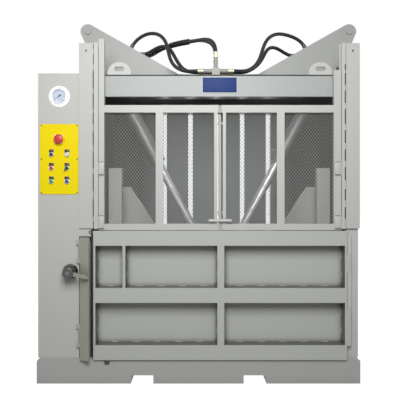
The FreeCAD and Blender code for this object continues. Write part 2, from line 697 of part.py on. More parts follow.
def rod_bracket():
    """Make three upright cheeks on the saddle plate below the rod eyes, with a pin head on each side."""
    half_eye = EYE_WIDTH / 2 + CHEEK_GAP
    walls = [
        (CYLINDER_DEPTHS[0] - half_eye - CHEEK_THICKNESS, CYLINDER_DEPTHS[0] - half_eye),
        (CYLINDER_DEPTHS[0] + half_eye, CYLINDER_DEPTHS[1] - half_eye),
        (CYLINDER_DEPTHS[1] + half_eye, CYLINDER_DEPTHS[1] + half_eye + CHEEK_THICKNESS),
    ]
    left = CHAMBER_OFFSET - CHEEK_HALF_WIDTH
    right = CHAMBER_OFFSET + CHEEK_HALF_WIDTH
    crown = PLATEN_TOP + CHEEK_HEIGHT
    outline = [
        (left, PLATEN_TOP),
        (left + CHEEK_HEIGHT * 0.6, crown),
        (right - CHEEK_HEIGHT * 0.6, crown),
        (right, PLATEN_TOP),
    ]
    pieces = [plate(outline, span) for span in walls]
    saddle_top = ROD_PIN_LEVEL - EYE_RADIUS - SEAT_GAP
    pieces.append(block((left, right), (walls[0][0], walls[-1][1]), (PLATEN_TOP, saddle_top)))
    for number, outer in ((0, walls[0]), (1, walls[2])):
        x = CHAMBER_OFFSET + (2 * number - 1) * ROD_PIN_SPREAD
        head = (outer[0] - PIN_HEAD, outer[0]) if number == 0 else (outer[1], outer[1] + PIN_HEAD)
        pieces.append(round_y(x, ROD_PIN_LEVEL, PIN_HEAD_RADIUS, head))
    return joined(pieces)


def left_mast():
    left = CHAMBER_LEFT + MAST_INSET
    right = left + MAST_WIDTH
    top = PLATEN_TOP + MAST_HEIGHT
    depths = (MAST_SETBACK, MAST_SETBACK + MAST_DEPTH)
    tube = block((left, right), depths, (PLATEN_TOP, top))
    inside = block(
        (left + MAST_WALL, right - MAST_WALL),
        (depths[0] + MAST_WALL, depths[1] - MAST_WALL),
        (PLATEN_TOP + MAST_WALL, top + 1.0),
    )
    wing_top = PLATEN_TOP + WING_HEIGHT
    outline = [
        (left, PLATEN_TOP),
        (left, wing_top),
        (left + WING_TOP_WIDTH + MAST_WIDTH, wing_top),
        (left + MAST_WIDTH + WING_TOP_WIDTH + WING_REACH, PLATEN_TOP + WING_HEIGHT * WING_TOE_SHARE),
        (left + MAST_WIDTH + WING_TOP_WIDTH + WING_REACH, PLATEN_TOP),
    ]
    wing = plate(outline, (WING_DEPTH - MAST_WALL, WING_DEPTH))
    web = block((left, left + MAST_WALL), (depths[1], WING_DEPTH), (PLATEN_TOP, wing_top))
    return joined([tube.cut(inside), web, wing])


def platen_masts():
    mast = left_mast()
    return loose([mast, mirrored(mast)])


# ---------------------------------------------------------------- gate


GATE_LEFT_INNER = GATE_LEFT_EDGE + GATE_LEFT_MEMBER
GATE_RIGHT_INNER = GATE_RIGHT_EDGE - GATE_RIGHT_MEMBER
GATE_MID_INNERS = (CHAMBER_OFFSET - GATE_MID_HALF_SPAN, CHAMBER_OFFSET + GATE_MID_HALF_SPAN)
STILE_MIDDLES = (CHAMBER_OFFSET - GATE_STILE_HALF_SPAN, CHAMBER_OFFSET + GATE_STILE_HALF_SPAN)
STILE_SPANS = [
    (STILE_MIDDLES[0] - GATE_STILE / 2, STILE_MIDDLES[0] + GATE_STILE / 2),
    (GATE_MID_INNERS[0] - GATE_MID_STILE / 2, GATE_MID_INNERS[0] + GATE_MID_STILE / 2),
    (GATE_MID_INNERS[1] - GATE_MID_STILE / 2, GATE_MID_INNERS[1] + GATE_MID_STILE / 2),
    (STILE_MIDDLES[1] - GATE_STILE / 2, STILE_MIDDLES[1] + GATE_STILE / 2),
]
MESH_LEVELS = (GATE_UNDERSIDE + GATE_BOTTOM_RAIL, GATE_RAIL_TOP - GATE_TOP_RAIL)
MESH_FRONT = GATE_FRONT + GATE_STILE_THICKNESS


def gate_frame():
    depths = (GATE_FRONT, GATE_BACK)
    slim = (GATE_FRONT, MESH_FRONT)
    pieces = [
        block((GATE_LEFT_EDGE, GATE_LEFT_INNER), depths, (GATE_UNDERSIDE, GATE_LEFT_TOP)),
        block((GATE_RIGHT_INNER, GATE_RIGHT_EDGE), depths, (GATE_UNDERSIDE, GATE_RIGHT_TOP)),
        block((GATE_LEFT_INNER, GATE_RIGHT_INNER), depths, (GATE_UNDERSIDE, MESH_LEVELS[0])),
        block((GATE_LEFT_INNER, GATE_RIGHT_INNER), depths, (MESH_LEVELS[1], GATE_RAIL_TOP)),
    ]
    for span in STILE_SPANS:
        pieces.append(block(span, slim, MESH_LEVELS))
    clip_span = (STILE_SPANS[1][1], STILE_SPANS[2][0])
    for level in (MESH_LEVELS[0] + 60.0, LATCH_ROD_TOP - 60.0):
        pieces.append(block(clip_span, slim, (level, level + LATCH_CLIP_HEIGHT)))
    body = joined(pieces)
    depth = GATE_FRONT + LATCH_ROD_RADIUS
    levels = (GATE_UNDERSIDE - 1.0, GATE_RAIL_TOP + 1.0)
    reach = LATCH_ROD_RADIUS + PLATE_FIT
    bore = round_z(CHAMBER_OFFSET, depth, reach, levels)
    open_front = block((CHAMBER_OFFSET - reach, CHAMBER_OFFSET + reach), (GATE_FRONT - 1.0, depth), levels)
    return body.cut(bore.fuse(open_front))


def mesh_panel(left, right):
    """Make one flat net with staggered diamond gaps."""
    low, high = MESH_LEVELS
    sheet = block((left, right), (MESH_FRONT, MESH_FRONT + MESH_THICKNESS), (low, high))
    pitch_x = (right - left - 2 * MESH_BORDER) / MESH_COLUMNS
    pitch_z = (high - low - 2 * MESH_BORDER) / MESH_ROWS
    half_x = (pitch_x - MESH_STRAND) / 2
    half_z = (pitch_z - MESH_STRAND) / 2
    gaps = []
    for row in range(MESH_ROWS):
        for column in range(MESH_COLUMNS):
            x = left + MESH_BORDER + pitch_x * (column + 0.5)
            z = low + MESH_BORDER + pitch_z * (row + 0.5)
            diamond = [(x - half_x, z), (x, z - half_z), (x + half_x, z), (x, z + half_z)]
            gaps.append(plate(diamond, (MESH_FRONT - 1.0, MESH_FRONT + MESH_THICKNESS + 1.0)))
    return sheet.cut(Part.makeCompound(gaps))


def gate_mesh():
    edges = [
        (GATE_LEFT_INNER, STILE_SPANS[0][1]),
        (STILE_SPANS[0][1], STILE_SPANS[1][1]),
        (STILE_SPANS[2][0], STILE_SPANS[3][0]),
        (STILE_SPANS[3][0], GATE_RIGHT_INNER),
    ]
    return loose([mesh_panel(left, right) for left, right in edges])


def gate_shoes():
    shoes = []
    for edge, side in ((GATE_LEFT_EDGE, -1), (GATE_RIGHT_EDGE, 1)):
        for level in SHOE_LEVELS:
            span = (level, level + SHOE_HEIGHT)
            tongue = block((edge, edge + side * SHOE_REACH), (GATE_FRONT, GATE_BACK), span)
            pad = block((edge + side * 1.0, edge - side * 30.0), (GATE_FRONT - SHOE_PAD, GATE_FRONT), span)
            tie = block((edge, edge + side * 1.0), (GATE_FRONT - SHOE_PAD, GATE_FRONT + 1.0), span)
            shoes.append(joined([tongue, pad, tie]))
    return loose(shoes)


def gate_latch():
    depth = GATE_FRONT + LATCH_ROD_RADIUS
    upright = round_z(
        CHAMBER_OFFSET, depth, LATCH_ROD_RADIUS, (GATE_UNDERSIDE + SEAT_GAP, LATCH_ROD_TOP)
    )
    reach = LATCH_HANDLE_LENGTH / 2
    bar_depth = GATE_FRONT - LATCH_HANDLE_RADIUS - 1.0
    bar_span = (CHAMBER_OFFSET - reach, CHAMBER_OFFSET + reach)
    bar = round_x(bar_depth, LATCH_HANDLE_LEVEL, LATCH_HANDLE_RADIUS, bar_span)
    rims = [edge for edge in bar.Edges if len(edge.Vertexes) == 1]
    bar = bar.makeFillet(LATCH_HANDLE_RADIUS * 0.3, rims)
    neck = round_y(CHAMBER_OFFSET, LATCH_HANDLE_LEVEL, LATCH_ROD_RADIUS * 0.75, (bar_depth, depth))
    return joined([upright, bar, neck])


# ---------------------------------------------------------------- guides and counterweights


def guide(edge, side, web, back_width, shoe_edge):
    """Make one gate guide: a channel with a stop at its foot and stitch-welded tabs to its box."""
    levels = (BOX_BOTTOM - 2.0, BOX_TOP)
    back = BEAM_FRONT_DEPTH
    pieces = [
        block((edge, edge - side * web), (GUIDE_FRONT, back), levels),
        block((edge, shoe_edge + side * GUIDE_LIP_GAP), (GUIDE_FRONT, GUIDE_FRONT + GUIDE_WALL), levels),
        block((edge, edge - side * back_width), (back - GUIDE_WALL, back), levels),
    ]
    stop_top = SHOE_LEVELS[0] - SEAT_GAP
    shoe_tip = shoe_edge + side * SHOE_REACH
    pieces.append(
        block((edge, shoe_tip - side * SHOE_REACH + side * 1.0), (GUIDE_FRONT, back), (levels[0], stop_top))
    )
    box_face = BOX_SPANS[0][1] if side < 0 else RIGHT_BOX_LEFT
    level = BOX_BOTTOM + STITCH_PITCH / 2
    while level + STITCH_LENGTH < BOX_TOP:
        pieces.append(block((box_face, edge), (BOX_FRONT + 5.0, back), (level, level + STITCH_LENGTH)))
        level += STITCH_PITCH
    return joined(pieces)


def gate_guides():
    left = guide(GUIDE_LEFT_EDGE, -1, GUIDE_LEFT_WEB, GUIDE_LEFT_BACK, GATE_LEFT_EDGE)
    right = guide(GUIDE_RIGHT_EDGE, 1, GUIDE_RIGHT_WEB, GUIDE_RIGHT_BACK, GATE_RIGHT_EDGE)
    return loose([left, right])


def counterweight_boxes():
    boxes = []
    for left, right in BOX_SPANS:
        tube = block((left, right), (BOX_FRONT, BOX_BACK), (BOX_BOTTOM, BOX_TOP))
        inside = block(
            (left + BOX_WALL, right - BOX_WALL),
            (BOX_FRONT + BOX_WALL, BOX_BACK - BOX_WALL),
            (BOX_BOTTOM - 1.0, BOX_TOP - BOX_WALL),
        )
        between = (BOX_FRONT + BOX_WALL, BOX_BACK - BOX_WALL)
        axle = round_y((left + right) / 2, PULLEY_LEVEL, PULLEY_AXLE, between)
        boxes.append(joined([tube.cut(inside), axle]))
    return loose(boxes)


def pulley(number):
    x = sum(BOX_SPANS[number]) / 2
    middle = (BOX_FRONT + BOX_BACK) / 2
    depths = (middle - PULLEY_WIDTH / 2, middle + PULLEY_WIDTH / 2)
    wheel = round_y(x, PULLEY_LEVEL, PULLEY_RADIUS, depths)
    groove = Part.makeTorus(PULLEY_RADIUS, PULLEY_GROOVE, at(x, middle, PULLEY_LEVEL), Vector(0, 1, 0))
    bore = round_y(x, PULLEY_LEVEL, PULLEY_AXLE + RUNNING_FIT, depths)
    return wheel.cut(groove).cut(bore)


def counterweight(number):
    left, right = BOX_SPANS[number]
    gap = BOX_WALL + WEIGHT_CLEARANCE
    return block(
        (left + gap, right - gap),
        (BOX_FRONT + gap, BOX_BACK - gap),
        (WEIGHT_LEVEL, WEIGHT_LEVEL + WEIGHT_HEIGHT),
    )


# ---------------------------------------------------------------- chamber door and its lock


def chamber_door():
    body = block((CHAMBER_LEFT, CHAMBER_RIGHT), (0, DOOR_THICKNESS), (DOOR_BOTTOM, DOOR_TOP))
    rib = CHAMBER_OFFSET + DOOR_CENTRE_RIB_OFFSET
    columns = [
        (CHAMBER_LEFT + DOOR_END_PLATE, rib - DOOR_CENTRE_RIB / 2),
        (rib + DOOR_CENTRE_RIB / 2, CHAMBER_RIGHT - DOOR_END_PLATE),
    ]
    middle = (DOOR_BOTTOM + DOOR_TOP) / 2
    rows = [
        (DOOR_BOTTOM + DOOR_RAIL, middle - DOOR_RAIL / 2),
        (middle + DOOR_RAIL / 2, DOOR_TOP - DOOR_RAIL),
    ]
    depths = (-1.0, DOOR_THICKNESS - DOOR_SKIN)
    for row_number, row in enumerate(rows):
        for column_number, column in enumerate(columns):
            pocket = block(column, depths, row)
            if row_number == 1 and column_number == 0:
                edge = CHAMBER_LEFT + DOOR_END_PLATE + DOOR_SMALL_RIB_OFFSET
                pocket = pocket.cut(block((edge, edge + DOOR_SMALL_RIB), depths, row))
            body = body.cut(pocket)
    pieces = [body]
    for low, high in door_knuckle_levels():
        pieces.append(round_z(HINGE_X, HINGE_DEPTH, HINGE_RADIUS, (low, high)))
        pieces.append(block((CHAMBER_RIGHT - 1.0, HINGE_X), (0, 2 * HINGE_RADIUS), (low, high)))
    bore_levels = (HINGE_LEVELS[0] - 1.0, HINGE_LEVELS[-1] + 1.0)
    bore = round_z(HINGE_X, HINGE_DEPTH, HINGE_PIN + RUNNING_FIT, bore_levels)
    return joined(pieces).cut(bore)


def door_knuckle_levels():
    """Give the spans of the hinge knuckles that the door carries."""
    return [(HINGE_LEVELS[0], HINGE_LEVELS[1]), (HINGE_LEVELS[2], HINGE_LEVELS[3])]


def hinge_pins():
    """The hinge knuckles and pins that stay with the frame, for the door and for the lock bar."""
    gap = HINGE_KNUCKLE_GAP
    pieces = [round_z(HINGE_X, HINGE_DEPTH, HINGE_PIN, (HINGE_LEVELS[0] - 6.0, HINGE_LEVELS[-1]))]
    face = HINGE_DEPTH + HINGE_RADIUS + HINGE_LEAF
    for low, high in ((HINGE_LEVELS[1], HINGE_LEVELS[2]), (HINGE_LEVELS[3], HINGE_LEVELS[4])):
        pieces.append(round_z(HINGE_X, HINGE_DEPTH, HINGE_RADIUS, (low + gap, high - gap)))
        leaf = (HINGE_X, HINGE_X + HINGE_RADIUS)
        pieces.append(block(leaf, (HINGE_DEPTH + HINGE_RADIUS / 2, face), (low + gap, high - gap)))
    door_side = joined(pieces)
    lock_side = []
    for low, high in zip(LOCK_KNUCKLE_LEVELS[::2], LOCK_KNUCKLE_LEVELS[1::2]):
        pin_span = (low - LOCK_BRACKET, high + LOCK_BRACKET)
        brackets = [round_z(LOCK_AXIS_X, LOCK_AXIS_DEPTH, LOCK_PIN_RADIUS, pin_span)]
        for span in ((low - LOCK_BRACKET, low - gap), (high + gap, high + LOCK_BRACKET)):
            brackets.append(round_z(LOCK_AXIS_X, LOCK_AXIS_DEPTH, LOCK_KNUCKLE_RADIUS, span))
            depths = (LOCK_AXIS_DEPTH, CABINET_FRONT)
            brackets.append(block((LOCK_AXIS_X - 3 * LOCK_KNUCKLE_RADIUS, LOCK_AXIS_X), depths, span))
        lock_side.append(joined(brackets))
    return loose([door_side] + lock_side)


def door_rest():
    """The wear block on the base that the free end of the door settles on."""
    left = CHAMBER_LEFT + DOOR_REST_INSET
    top = DOOR_BOTTOM - SEAT_GAP
    rest = block((left, left + DOOR_REST_WIDTH), (1.0, BASE_SETBACK), (top - DOOR_REST_HEIGHT, top))
    front_edges = [edge for edge in rest.Edges if abs(edge.CenterOfMass.y - (FRONT + 1.0)) < 0.01]
    return rest.makeFillet(4.0, front_edges)


def lock_bar():
    """The hinged bar beside the door, drawn closed and then swung open about its pin."""
    depths = (LOCK_AXIS_DEPTH - LOCK_BAR_THICKNESS / 2, LOCK_AXIS_DEPTH + LOCK_BAR_THICKNESS / 2)
    left = LOCK_AXIS_X + LOCK_KNUCKLE_RADIUS + 2.0
    bar = block((left, LOCK_AXIS_X + LOCK_BAR_WIDTH), depths, (LOCK_BAR_BOTTOM, LOCK_BAR_TOP))
    pieces = [bar]
    for low, high in zip(LOCK_KNUCKLE_LEVELS[::2], LOCK_KNUCKLE_LEVELS[1::2]):
        pieces.append(round_z(LOCK_AXIS_X, LOCK_AXIS_DEPTH, LOCK_KNUCKLE_RADIUS, (low, high)))
        leaf_depths = (LOCK_AXIS_DEPTH - LOCK_KNUCKLE_RADIUS, LOCK_AXIS_DEPTH + LOCK_KNUCKLE_RADIUS)
        pieces.append(block((LOCK_AXIS_X, left + 1.0), leaf_depths, (low, high)))
    body = joined(pieces)
    bar_levels = (LOCK_BAR_BOTTOM, LOCK_BAR_TOP)
    body = body.cut(round_z(LOCK_AXIS_X, LOCK_AXIS_DEPTH, LOCK_PIN_RADIUS + RUNNING_FIT, bar_levels))
    body.rotate(at(LOCK_AXIS_X, LOCK_AXIS_DEPTH, 0), Vector(0, 0, 1), -LOCK_BAR_ANGLE)
    return body


def lock_hub():
    """The round boss on the cabinet that carries the lock lever on a spindle."""
    face = CABINET_FRONT
    nose = face - LOCK_HUB_DEPTH
    rim = Vector(LOCK_HUB_RADIUS, face - LOCK_HUB_DEPTH * 0.2, 0)
    profile = [
        Part.makeLine(Vector(0, nose, 0), Vector(LOCK_HUB_RADIUS * 0.62, nose, 0)),
        Part.Arc(
            Vector(LOCK_HUB_RADIUS * 0.62, nose, 0),
            Vector(LOCK_HUB_RADIUS * 0.90, face - LOCK_HUB_DEPTH * 0.62, 0),
            rim,
        ).toShape(),
        Part.makeLine(rim, Vector(LOCK_HUB_RADIUS, face, 0)),
        Part.makeLine(Vector(LOCK_HUB_RADIUS, face, 0), Vector(0, face, 0)),
        Part.makeLine(Vector(0, face, 0), Vector(0, nose, 0)),
    ]
    dome = Part.Face(Part.Wire(profile)).revolve(Vector(0, 0, 0), Vector(0, 1, 0), 360)
    dome.translate(at(LOCK_HUB_X, 0, LOCK_HUB_LEVEL))
    spindle_span = (face - LEVER_DEPTH - LEVER_THICKNESS, nose + 1.0)
    spindle = round_y(LOCK_HUB_X, LOCK_HUB_LEVEL, LOCK_SPINDLE_RADIUS, spindle_span)
    return joined([dome, spindle])


def lock_lever():
    """The hand lever: a domed boss on the hub's spindle with a tapered arm."""
    back = CABINET_FRONT - LOCK_HUB_DEPTH - SEAT_GAP
    front = CABINET_FRONT - LEVER_DEPTH - LEVER_THICKNESS
    boss = round_y(LOCK_HUB_X, LOCK_HUB_LEVEL, LEVER_BOSS, (front, back))
    rim = [edge for edge in boss.Edges if abs(edge.CenterOfMass.y - (FRONT + front)) < 0.01]
    boss = boss.makeFillet(LEVER_THICKNESS / 2, rim)
    arm = [
        (0, -LEVER_ROOT),
        (LEVER_LENGTH - LEVER_TIP, -LEVER_TIP),
        (LEVER_LENGTH - LEVER_TIP, LEVER_TIP),
        (0, LEVER_ROOT),
    ]
    depths = (CABINET_FRONT - LEVER_DEPTH - LEVER_THICKNESS + 4.0, CABINET_FRONT - LEVER_DEPTH)
    shaft = plate([(LOCK_HUB_X + x, LOCK_HUB_LEVEL + z) for x, z in arm], depths)
    tip = round_y(LOCK_HUB_X + LEVER_LENGTH - LEVER_TIP, LOCK_HUB_LEVEL, LEVER_TIP, depths)
    bore = round_y(LOCK_HUB_X, LOCK_HUB_LEVEL, LOCK_SPINDLE_RADIUS + RUNNING_FIT, (front - 1.0, back + 1.0))
    body = joined([boss, shaft, tip]).cut(bore)
    body.rotate(at(LOCK_HUB_X, 0, LOCK_HUB_LEVEL), Vector(0, 1, 0), -LEVER_ANGLE)
    return body


# ---------------------------------------------------------------- cabinet and power pack


CABINET_LEFT = CABINET_RIGHT - CABINET_WIDTH
CABINET_BACK = CABINET_FRONT + CABINET_DEPTH


def button_places():
    """Give the centres of the six small control places, row by row from the top."""
    places = []
    for level in BUTTON_LEVELS:
        for side in (-1, 1):
            places.append((PLATE_CENTRE + side * BUTTON_SPREAD, level))
    return places


def control_holes():
    """The round holes for buttons, stop and gauge, through plate and sheet."""
    through = (CONTROL_FACE - 1.0, CABINET_FRONT + CABINET_SHEET + 1.0)
    holes = [round_y(x, z, BUTTON_RADIUS + BUTTON_GAP, through) for x, z in button_places()]
    holes.append(round_y(PLATE_CENTRE, STOP_LEVEL, BUTTON_RADIUS + BUTTON_GAP, through))
    holes.append(round_y(PLATE_CENTRE, GAUGE_LEVEL, GAUGE_DIAL_RADIUS + 5.0, through))
    return Part.makeCompound(holes)


def cabinet_shell():
    shell = block((CABINET_LEFT, CABINET_RIGHT), (CABINET_FRONT, CABINET_BACK), (BASE_HEIGHT, CABINET_TOP))
    inside = block(
        (CABINET_LEFT + CABINET_SHEET, CABINET_RIGHT - CABINET_SHEET),
        (CABINET_FRONT + CABINET_SHEET, CABINET_BACK - CABINET_SHEET),
        (BASE_HEIGHT - 1.0, CABINET_TOP - CABINET_SHEET),
    )
    side_opening = block(
        (CABINET_LEFT - 1.0, CABINET_LEFT + CABINET_SHEET + 1.0),
        (CABINET_FRONT + CABINET_RETURN, CABINET_BACK - CABINET_RETURN),
        (BASE_HEIGHT + CABINET_RETURN, CABINET_TOP - CABINET_RETURN),
    )
    return shell.cut(inside).cut(side_opening).cut(control_holes())


def cabinet_side_cover():
    margin = CABINET_RETURN - COVER_LAP
    depths = (CABINET_FRONT + margin, CABINET_BACK - margin)
    levels = (BASE_HEIGHT + margin, CABINET_TOP - margin)
    cover = block((CABINET_LEFT - COVER_SHEET, CABINET_LEFT), depths, levels)
    middle = (depths[0] + depths[1]) / 2
    slots = []
    for base_level in (LOUVRE_LEVEL, CABINET_TOP - LOUVRE_LEVEL + BASE_HEIGHT):
        for number in range(LOUVRE_COUNT):
            level = base_level + number * LOUVRE_PITCH
            slots.append(
                block(
                    (CABINET_LEFT - COVER_SHEET - 1.0, CABINET_LEFT + 1.0),
                    (middle - LOUVRE_LENGTH / 2, middle + LOUVRE_LENGTH / 2),
                    (level, level + LOUVRE_PITCH / 4),
                )
            )
    return cover.cut(Part.makeCompound(slots))


TANK_MID_X = (CABINET_LEFT + CABINET_RIGHT) / 2
TANK_FRONT = CABINET_FRONT + (CABINET_DEPTH - TANK_DEPTH) / 2
TANK_TOP = BASE_HEIGHT + TANK_HEIGHT
MOTOR_LEVEL = TANK_TOP + TANK_LID + MOTOR_RADIUS + 2 * MOTOR_FIN


def oil_tank():
    half = TANK_WIDTH / 2
    span = (TANK_MID_X - half, TANK_MID_X + half)
    depths = (TANK_FRONT, TANK_FRONT + TANK_DEPTH)
    body = block(span, depths, (BASE_HEIGHT, TANK_TOP))
    upright = [edge for edge in body.Edges if abs(edge.Vertexes[0].Z - edge.Vertexes[1].Z) > 1.0]
    body = body.makeFillet(18.0, upright)
    lid = block(span, depths, (TANK_TOP, TANK_TOP + TANK_LID))
    filler = round_z(TANK_MID_X + half / 2, TANK_FRONT + 40.0, 22.0, (TANK_TOP, TANK_TOP + 50.0))
    return joined([body, lid, filler])


def electric_motor():
    start = TANK_FRONT + 90.0
    end = start + MOTOR_LENGTH
    pieces = [round_y(TANK_MID_X, MOTOR_LEVEL, MOTOR_RADIUS, (start, end))]
    for number in range(MOTOR_FIN_COUNT):
        fin = Part.makeBox(MOTOR_FIN / 2, MOTOR_LENGTH * 0.7, MOTOR_RADIUS + MOTOR_FIN)
        fin.translate(Vector(-MOTOR_FIN / 4, 0, 0))
        fin.rotate(Vector(0, 0, 0), Vector(0, 1, 0), 360.0 * (number + 0.5) / MOTOR_FIN_COUNT)
        fin.translate(at(TANK_MID_X, start + MOTOR_LENGTH * 0.2, MOTOR_LEVEL))
        pieces.append(fin)
    foot = (TANK_MID_X - MOTOR_RADIUS * 0.8, TANK_MID_X + MOTOR_RADIUS * 0.8)
    foot_levels = (TANK_TOP + TANK_LID, MOTOR_LEVEL - MOTOR_RADIUS * 0.7)
    pieces.append(block(foot, (start + 50.0, end - 50.0), foot_levels))
    box_top = MOTOR_LEVEL + MOTOR_RADIUS + 30.0
    box_span = (TANK_MID_X - 35.0, TANK_MID_X + 35.0)
    pieces.append(block(box_span, (start + 80.0, start + 170.0), (MOTOR_LEVEL, box_top)))
    return joined(pieces)


def gear_pump():
    start = TANK_FRONT + 90.0 + MOTOR_LENGTH
    bell = round_y(TANK_MID_X, MOTOR_LEVEL, BELL_RADIUS, (start, start + BELL_LENGTH))
    pump_start = start + BELL_LENGTH
    body = round_y(TANK_MID_X, MOTOR_LEVEL, PUMP_RADIUS, (pump_start, pump_start + PUMP_LENGTH))
    return joined([bell, body])


def valve_block():
    top = TANK_TOP + TANK_LID
    near = TANK_FRONT + 12.0
    body = block((TANK_MID_X - 88.0, TANK_MID_X + 12.0), (near, near + 70.0), (top, top + 90.0))
    coils = []
    for level in (30.0, 66.0):
        coils.append(round_x(near + 35.0, top + level, 15.0, (TANK_MID_X + 12.0, TANK_MID_X + 26.0)))
    return joined([body] + coils)


def electrical_panel():
    """The back plate with its contactors, fixed to the inner side of the cabinet."""
    wall = CABINET_RIGHT - CABINET_SHEET
    face = wall - PANEL_SHEET
    rail_face = face - PANEL_RAIL_PROUD
    depths = (CABINET_FRONT + PANEL_MARGIN, CABINET_BACK - PANEL_MARGIN)
    top = CABINET_TOP - PANEL_DROP
    bottom = top - PANEL_HEIGHT
    pieces = [block((face, wall), depths, (bottom, top))]
    row_pitch = PANEL_HEIGHT / 3.5
    for row in range(3):
        middle = bottom + row_pitch * (row + 0.75)
        rail_levels = (middle - PANEL_RAIL / 2, middle + PANEL_RAIL / 2)
        pieces.append(block((rail_face, face), (depths[0] + 20.0, depths[1] - 20.0), rail_levels))
        for number in range(4 - row):
            near = depths[0] + 40.0 + number * (CONTACTOR_LENGTH + CONTACTOR_GAP)
            span = (near, near + CONTACTOR_LENGTH)
            levels = (middle - CONTACTOR_HEIGHT / 2, middle + CONTACTOR_HEIGHT / 2)
            pieces.append(block((rail_face - CONTACTOR_DEPTH, rail_face), span, levels))
    return joined(pieces)


# ---------------------------------------------------------------- controls and gauge


def control_plate():
    half = PLATE_WIDTH / 2
    sheet = block(
        (PLATE_CENTRE - half, PLATE_CENTRE + half),
        (CONTROL_FACE, CABINET_FRONT),
        (PLATE_BOTTOM, PLATE_BOTTOM + PLATE_HEIGHT),
    )
    corners = [edge for edge in sheet.Edges if abs(edge.Vertexes[0].Y - edge.Vertexes[1].Y) > 1.0]
    return sheet.makeFillet(7.0, corners).cut(control_holes())


def control_bezels():
    depths = (CONTROL_FACE - BEZEL_DEPTH, CONTROL_FACE)
    rings = []
    for x, z in button_places():
        ring = round_y(x, z, BEZEL_RADIUS, depths)
        rim = [edge for edge in ring.Edges if abs(edge.CenterOfMass.y - (FRONT + depths[0])) < 0.01]
        ring = ring.makeFillet(2.0, rim)
        rings.append(ring.cut(round_y(x, z, BUTTON_RADIUS + BUTTON_GAP, depths)))
    return loose(rings + [stop_collar()])


def stop_collar():
    """The wide ring under the emergency stop."""
    depths = (CONTROL_FACE - BEZEL_DEPTH, CONTROL_FACE)
    disc = round_y(PLATE_CENTRE, STOP_LEVEL, STOP_COLLAR_RADIUS, depths)
    rim = [edge for edge in disc.Edges if abs(edge.CenterOfMass.y - (FRONT + depths[0])) < 0.01]
    bore = round_y(PLATE_CENTRE, STOP_LEVEL, BUTTON_RADIUS + BUTTON_GAP, depths)
    return disc.makeFillet(3.0, rim).cut(bore)


def push_button(number, proud):
    x, z = button_places()[number]
    front = CONTROL_FACE - BEZEL_DEPTH - proud
    body = round_y(x, z, BUTTON_RADIUS, (front, front + BUTTON_LENGTH))
    rim = [edge for edge in body.Edges if abs(edge.CenterOfMass.y - (FRONT + front)) < 0.01]
    return body.makeFillet(1.5, rim)


def stop_button():
    collar_front = CONTROL_FACE - BEZEL_DEPTH
    head_back = collar_front - STOP_TRAVEL - 1.0
    head = round_y(PLATE_CENTRE, STOP_LEVEL, STOP_HEAD_RADIUS, (head_back - STOP_HEAD, head_back))
    rim = [edge for edge in head.Edges if abs(edge.CenterOfMass.y - (FRONT + head_back - STOP_HEAD)) < 0.01]
    head = head.makeFillet(STOP_HEAD / 2, rim)
    stem = round_y(PLATE_CENTRE, STOP_LEVEL, BUTTON_RADIUS, (head_back - 2.0, head_back + BUTTON_LENGTH))
    return joined([head, stem])


def selector_knob():
    x, z = button_places()[3]
    front = CONTROL_FACE - BEZEL_DEPTH - BUTTON_PROUD
    body = round_y(x, z, BUTTON_RADIUS, (front, front + BUTTON_LENGTH))
    lever = block((x - 5.0, x + SELECTOR_LEVER), (front - 8.0, front + 1.0), (z - 4.5, z + 4.5))
    lever.rotate(at(x, 0, z), Vector(0, 1, 0), -SELECTOR_ANGLE)
    return joined([body, lever])


def gauge_body():
    front = CABINET_FRONT - GAUGE_PROUD
    case = round_y(PLATE_CENTRE, GAUGE_LEVEL, GAUGE_DIAL_RADIUS + 4.5, (front, CABINET_FRONT + GAUGE_BACK))
    flange = round_y(PLATE_CENTRE, GAUGE_LEVEL, GAUGE_FLANGE_RADIUS, (CABINET_FRONT - 4.0, CABINET_FRONT))
    well = round_y(PLATE_CENTRE, GAUGE_LEVEL, GAUGE_DIAL_RADIUS, (front - 1.0, front + 9.0))
    spindle = round_y(PLATE_CENTRE, GAUGE_LEVEL, GAUGE_SPINDLE, (front + 4.0, front + 10.0))
    return joined([joined([case, flange]).cut(well), spindle])


def gauge_needle():
    front = CABINET_FRONT - GAUGE_PROUD
    depths = (front + 4.5, front + 6.0)
    tail = NEEDLE_LENGTH / 3
    outline = [(-tail, -2.0), (0, -2.5), (NEEDLE_LENGTH, -0.6), (NEEDLE_LENGTH, 0.6), (0, 2.5), (-tail, 2.0)]
    blade = plate([(PLATE_CENTRE + x, GAUGE_LEVEL + z) for x, z in outline], depths)
    blade = blade.fuse(round_y(PLATE_CENTRE, GAUGE_LEVEL, 4.0, depths)).removeSplitter()
    bore_depths = (depths[0] - 1.0, depths[1] + 1.0)
    blade = blade.cut(round_y(PLATE_CENTRE, GAUGE_LEVEL, GAUGE_SPINDLE + RUNNING_FIT, bore_depths))
    blade.rotate(at(PLATE_CENTRE, 0, GAUGE_LEVEL), Vector(0, 1, 0), -NEEDLE_ANGLE)
    return blade


# ---------------------------------------------------------------- hydraulic fittings and hoses

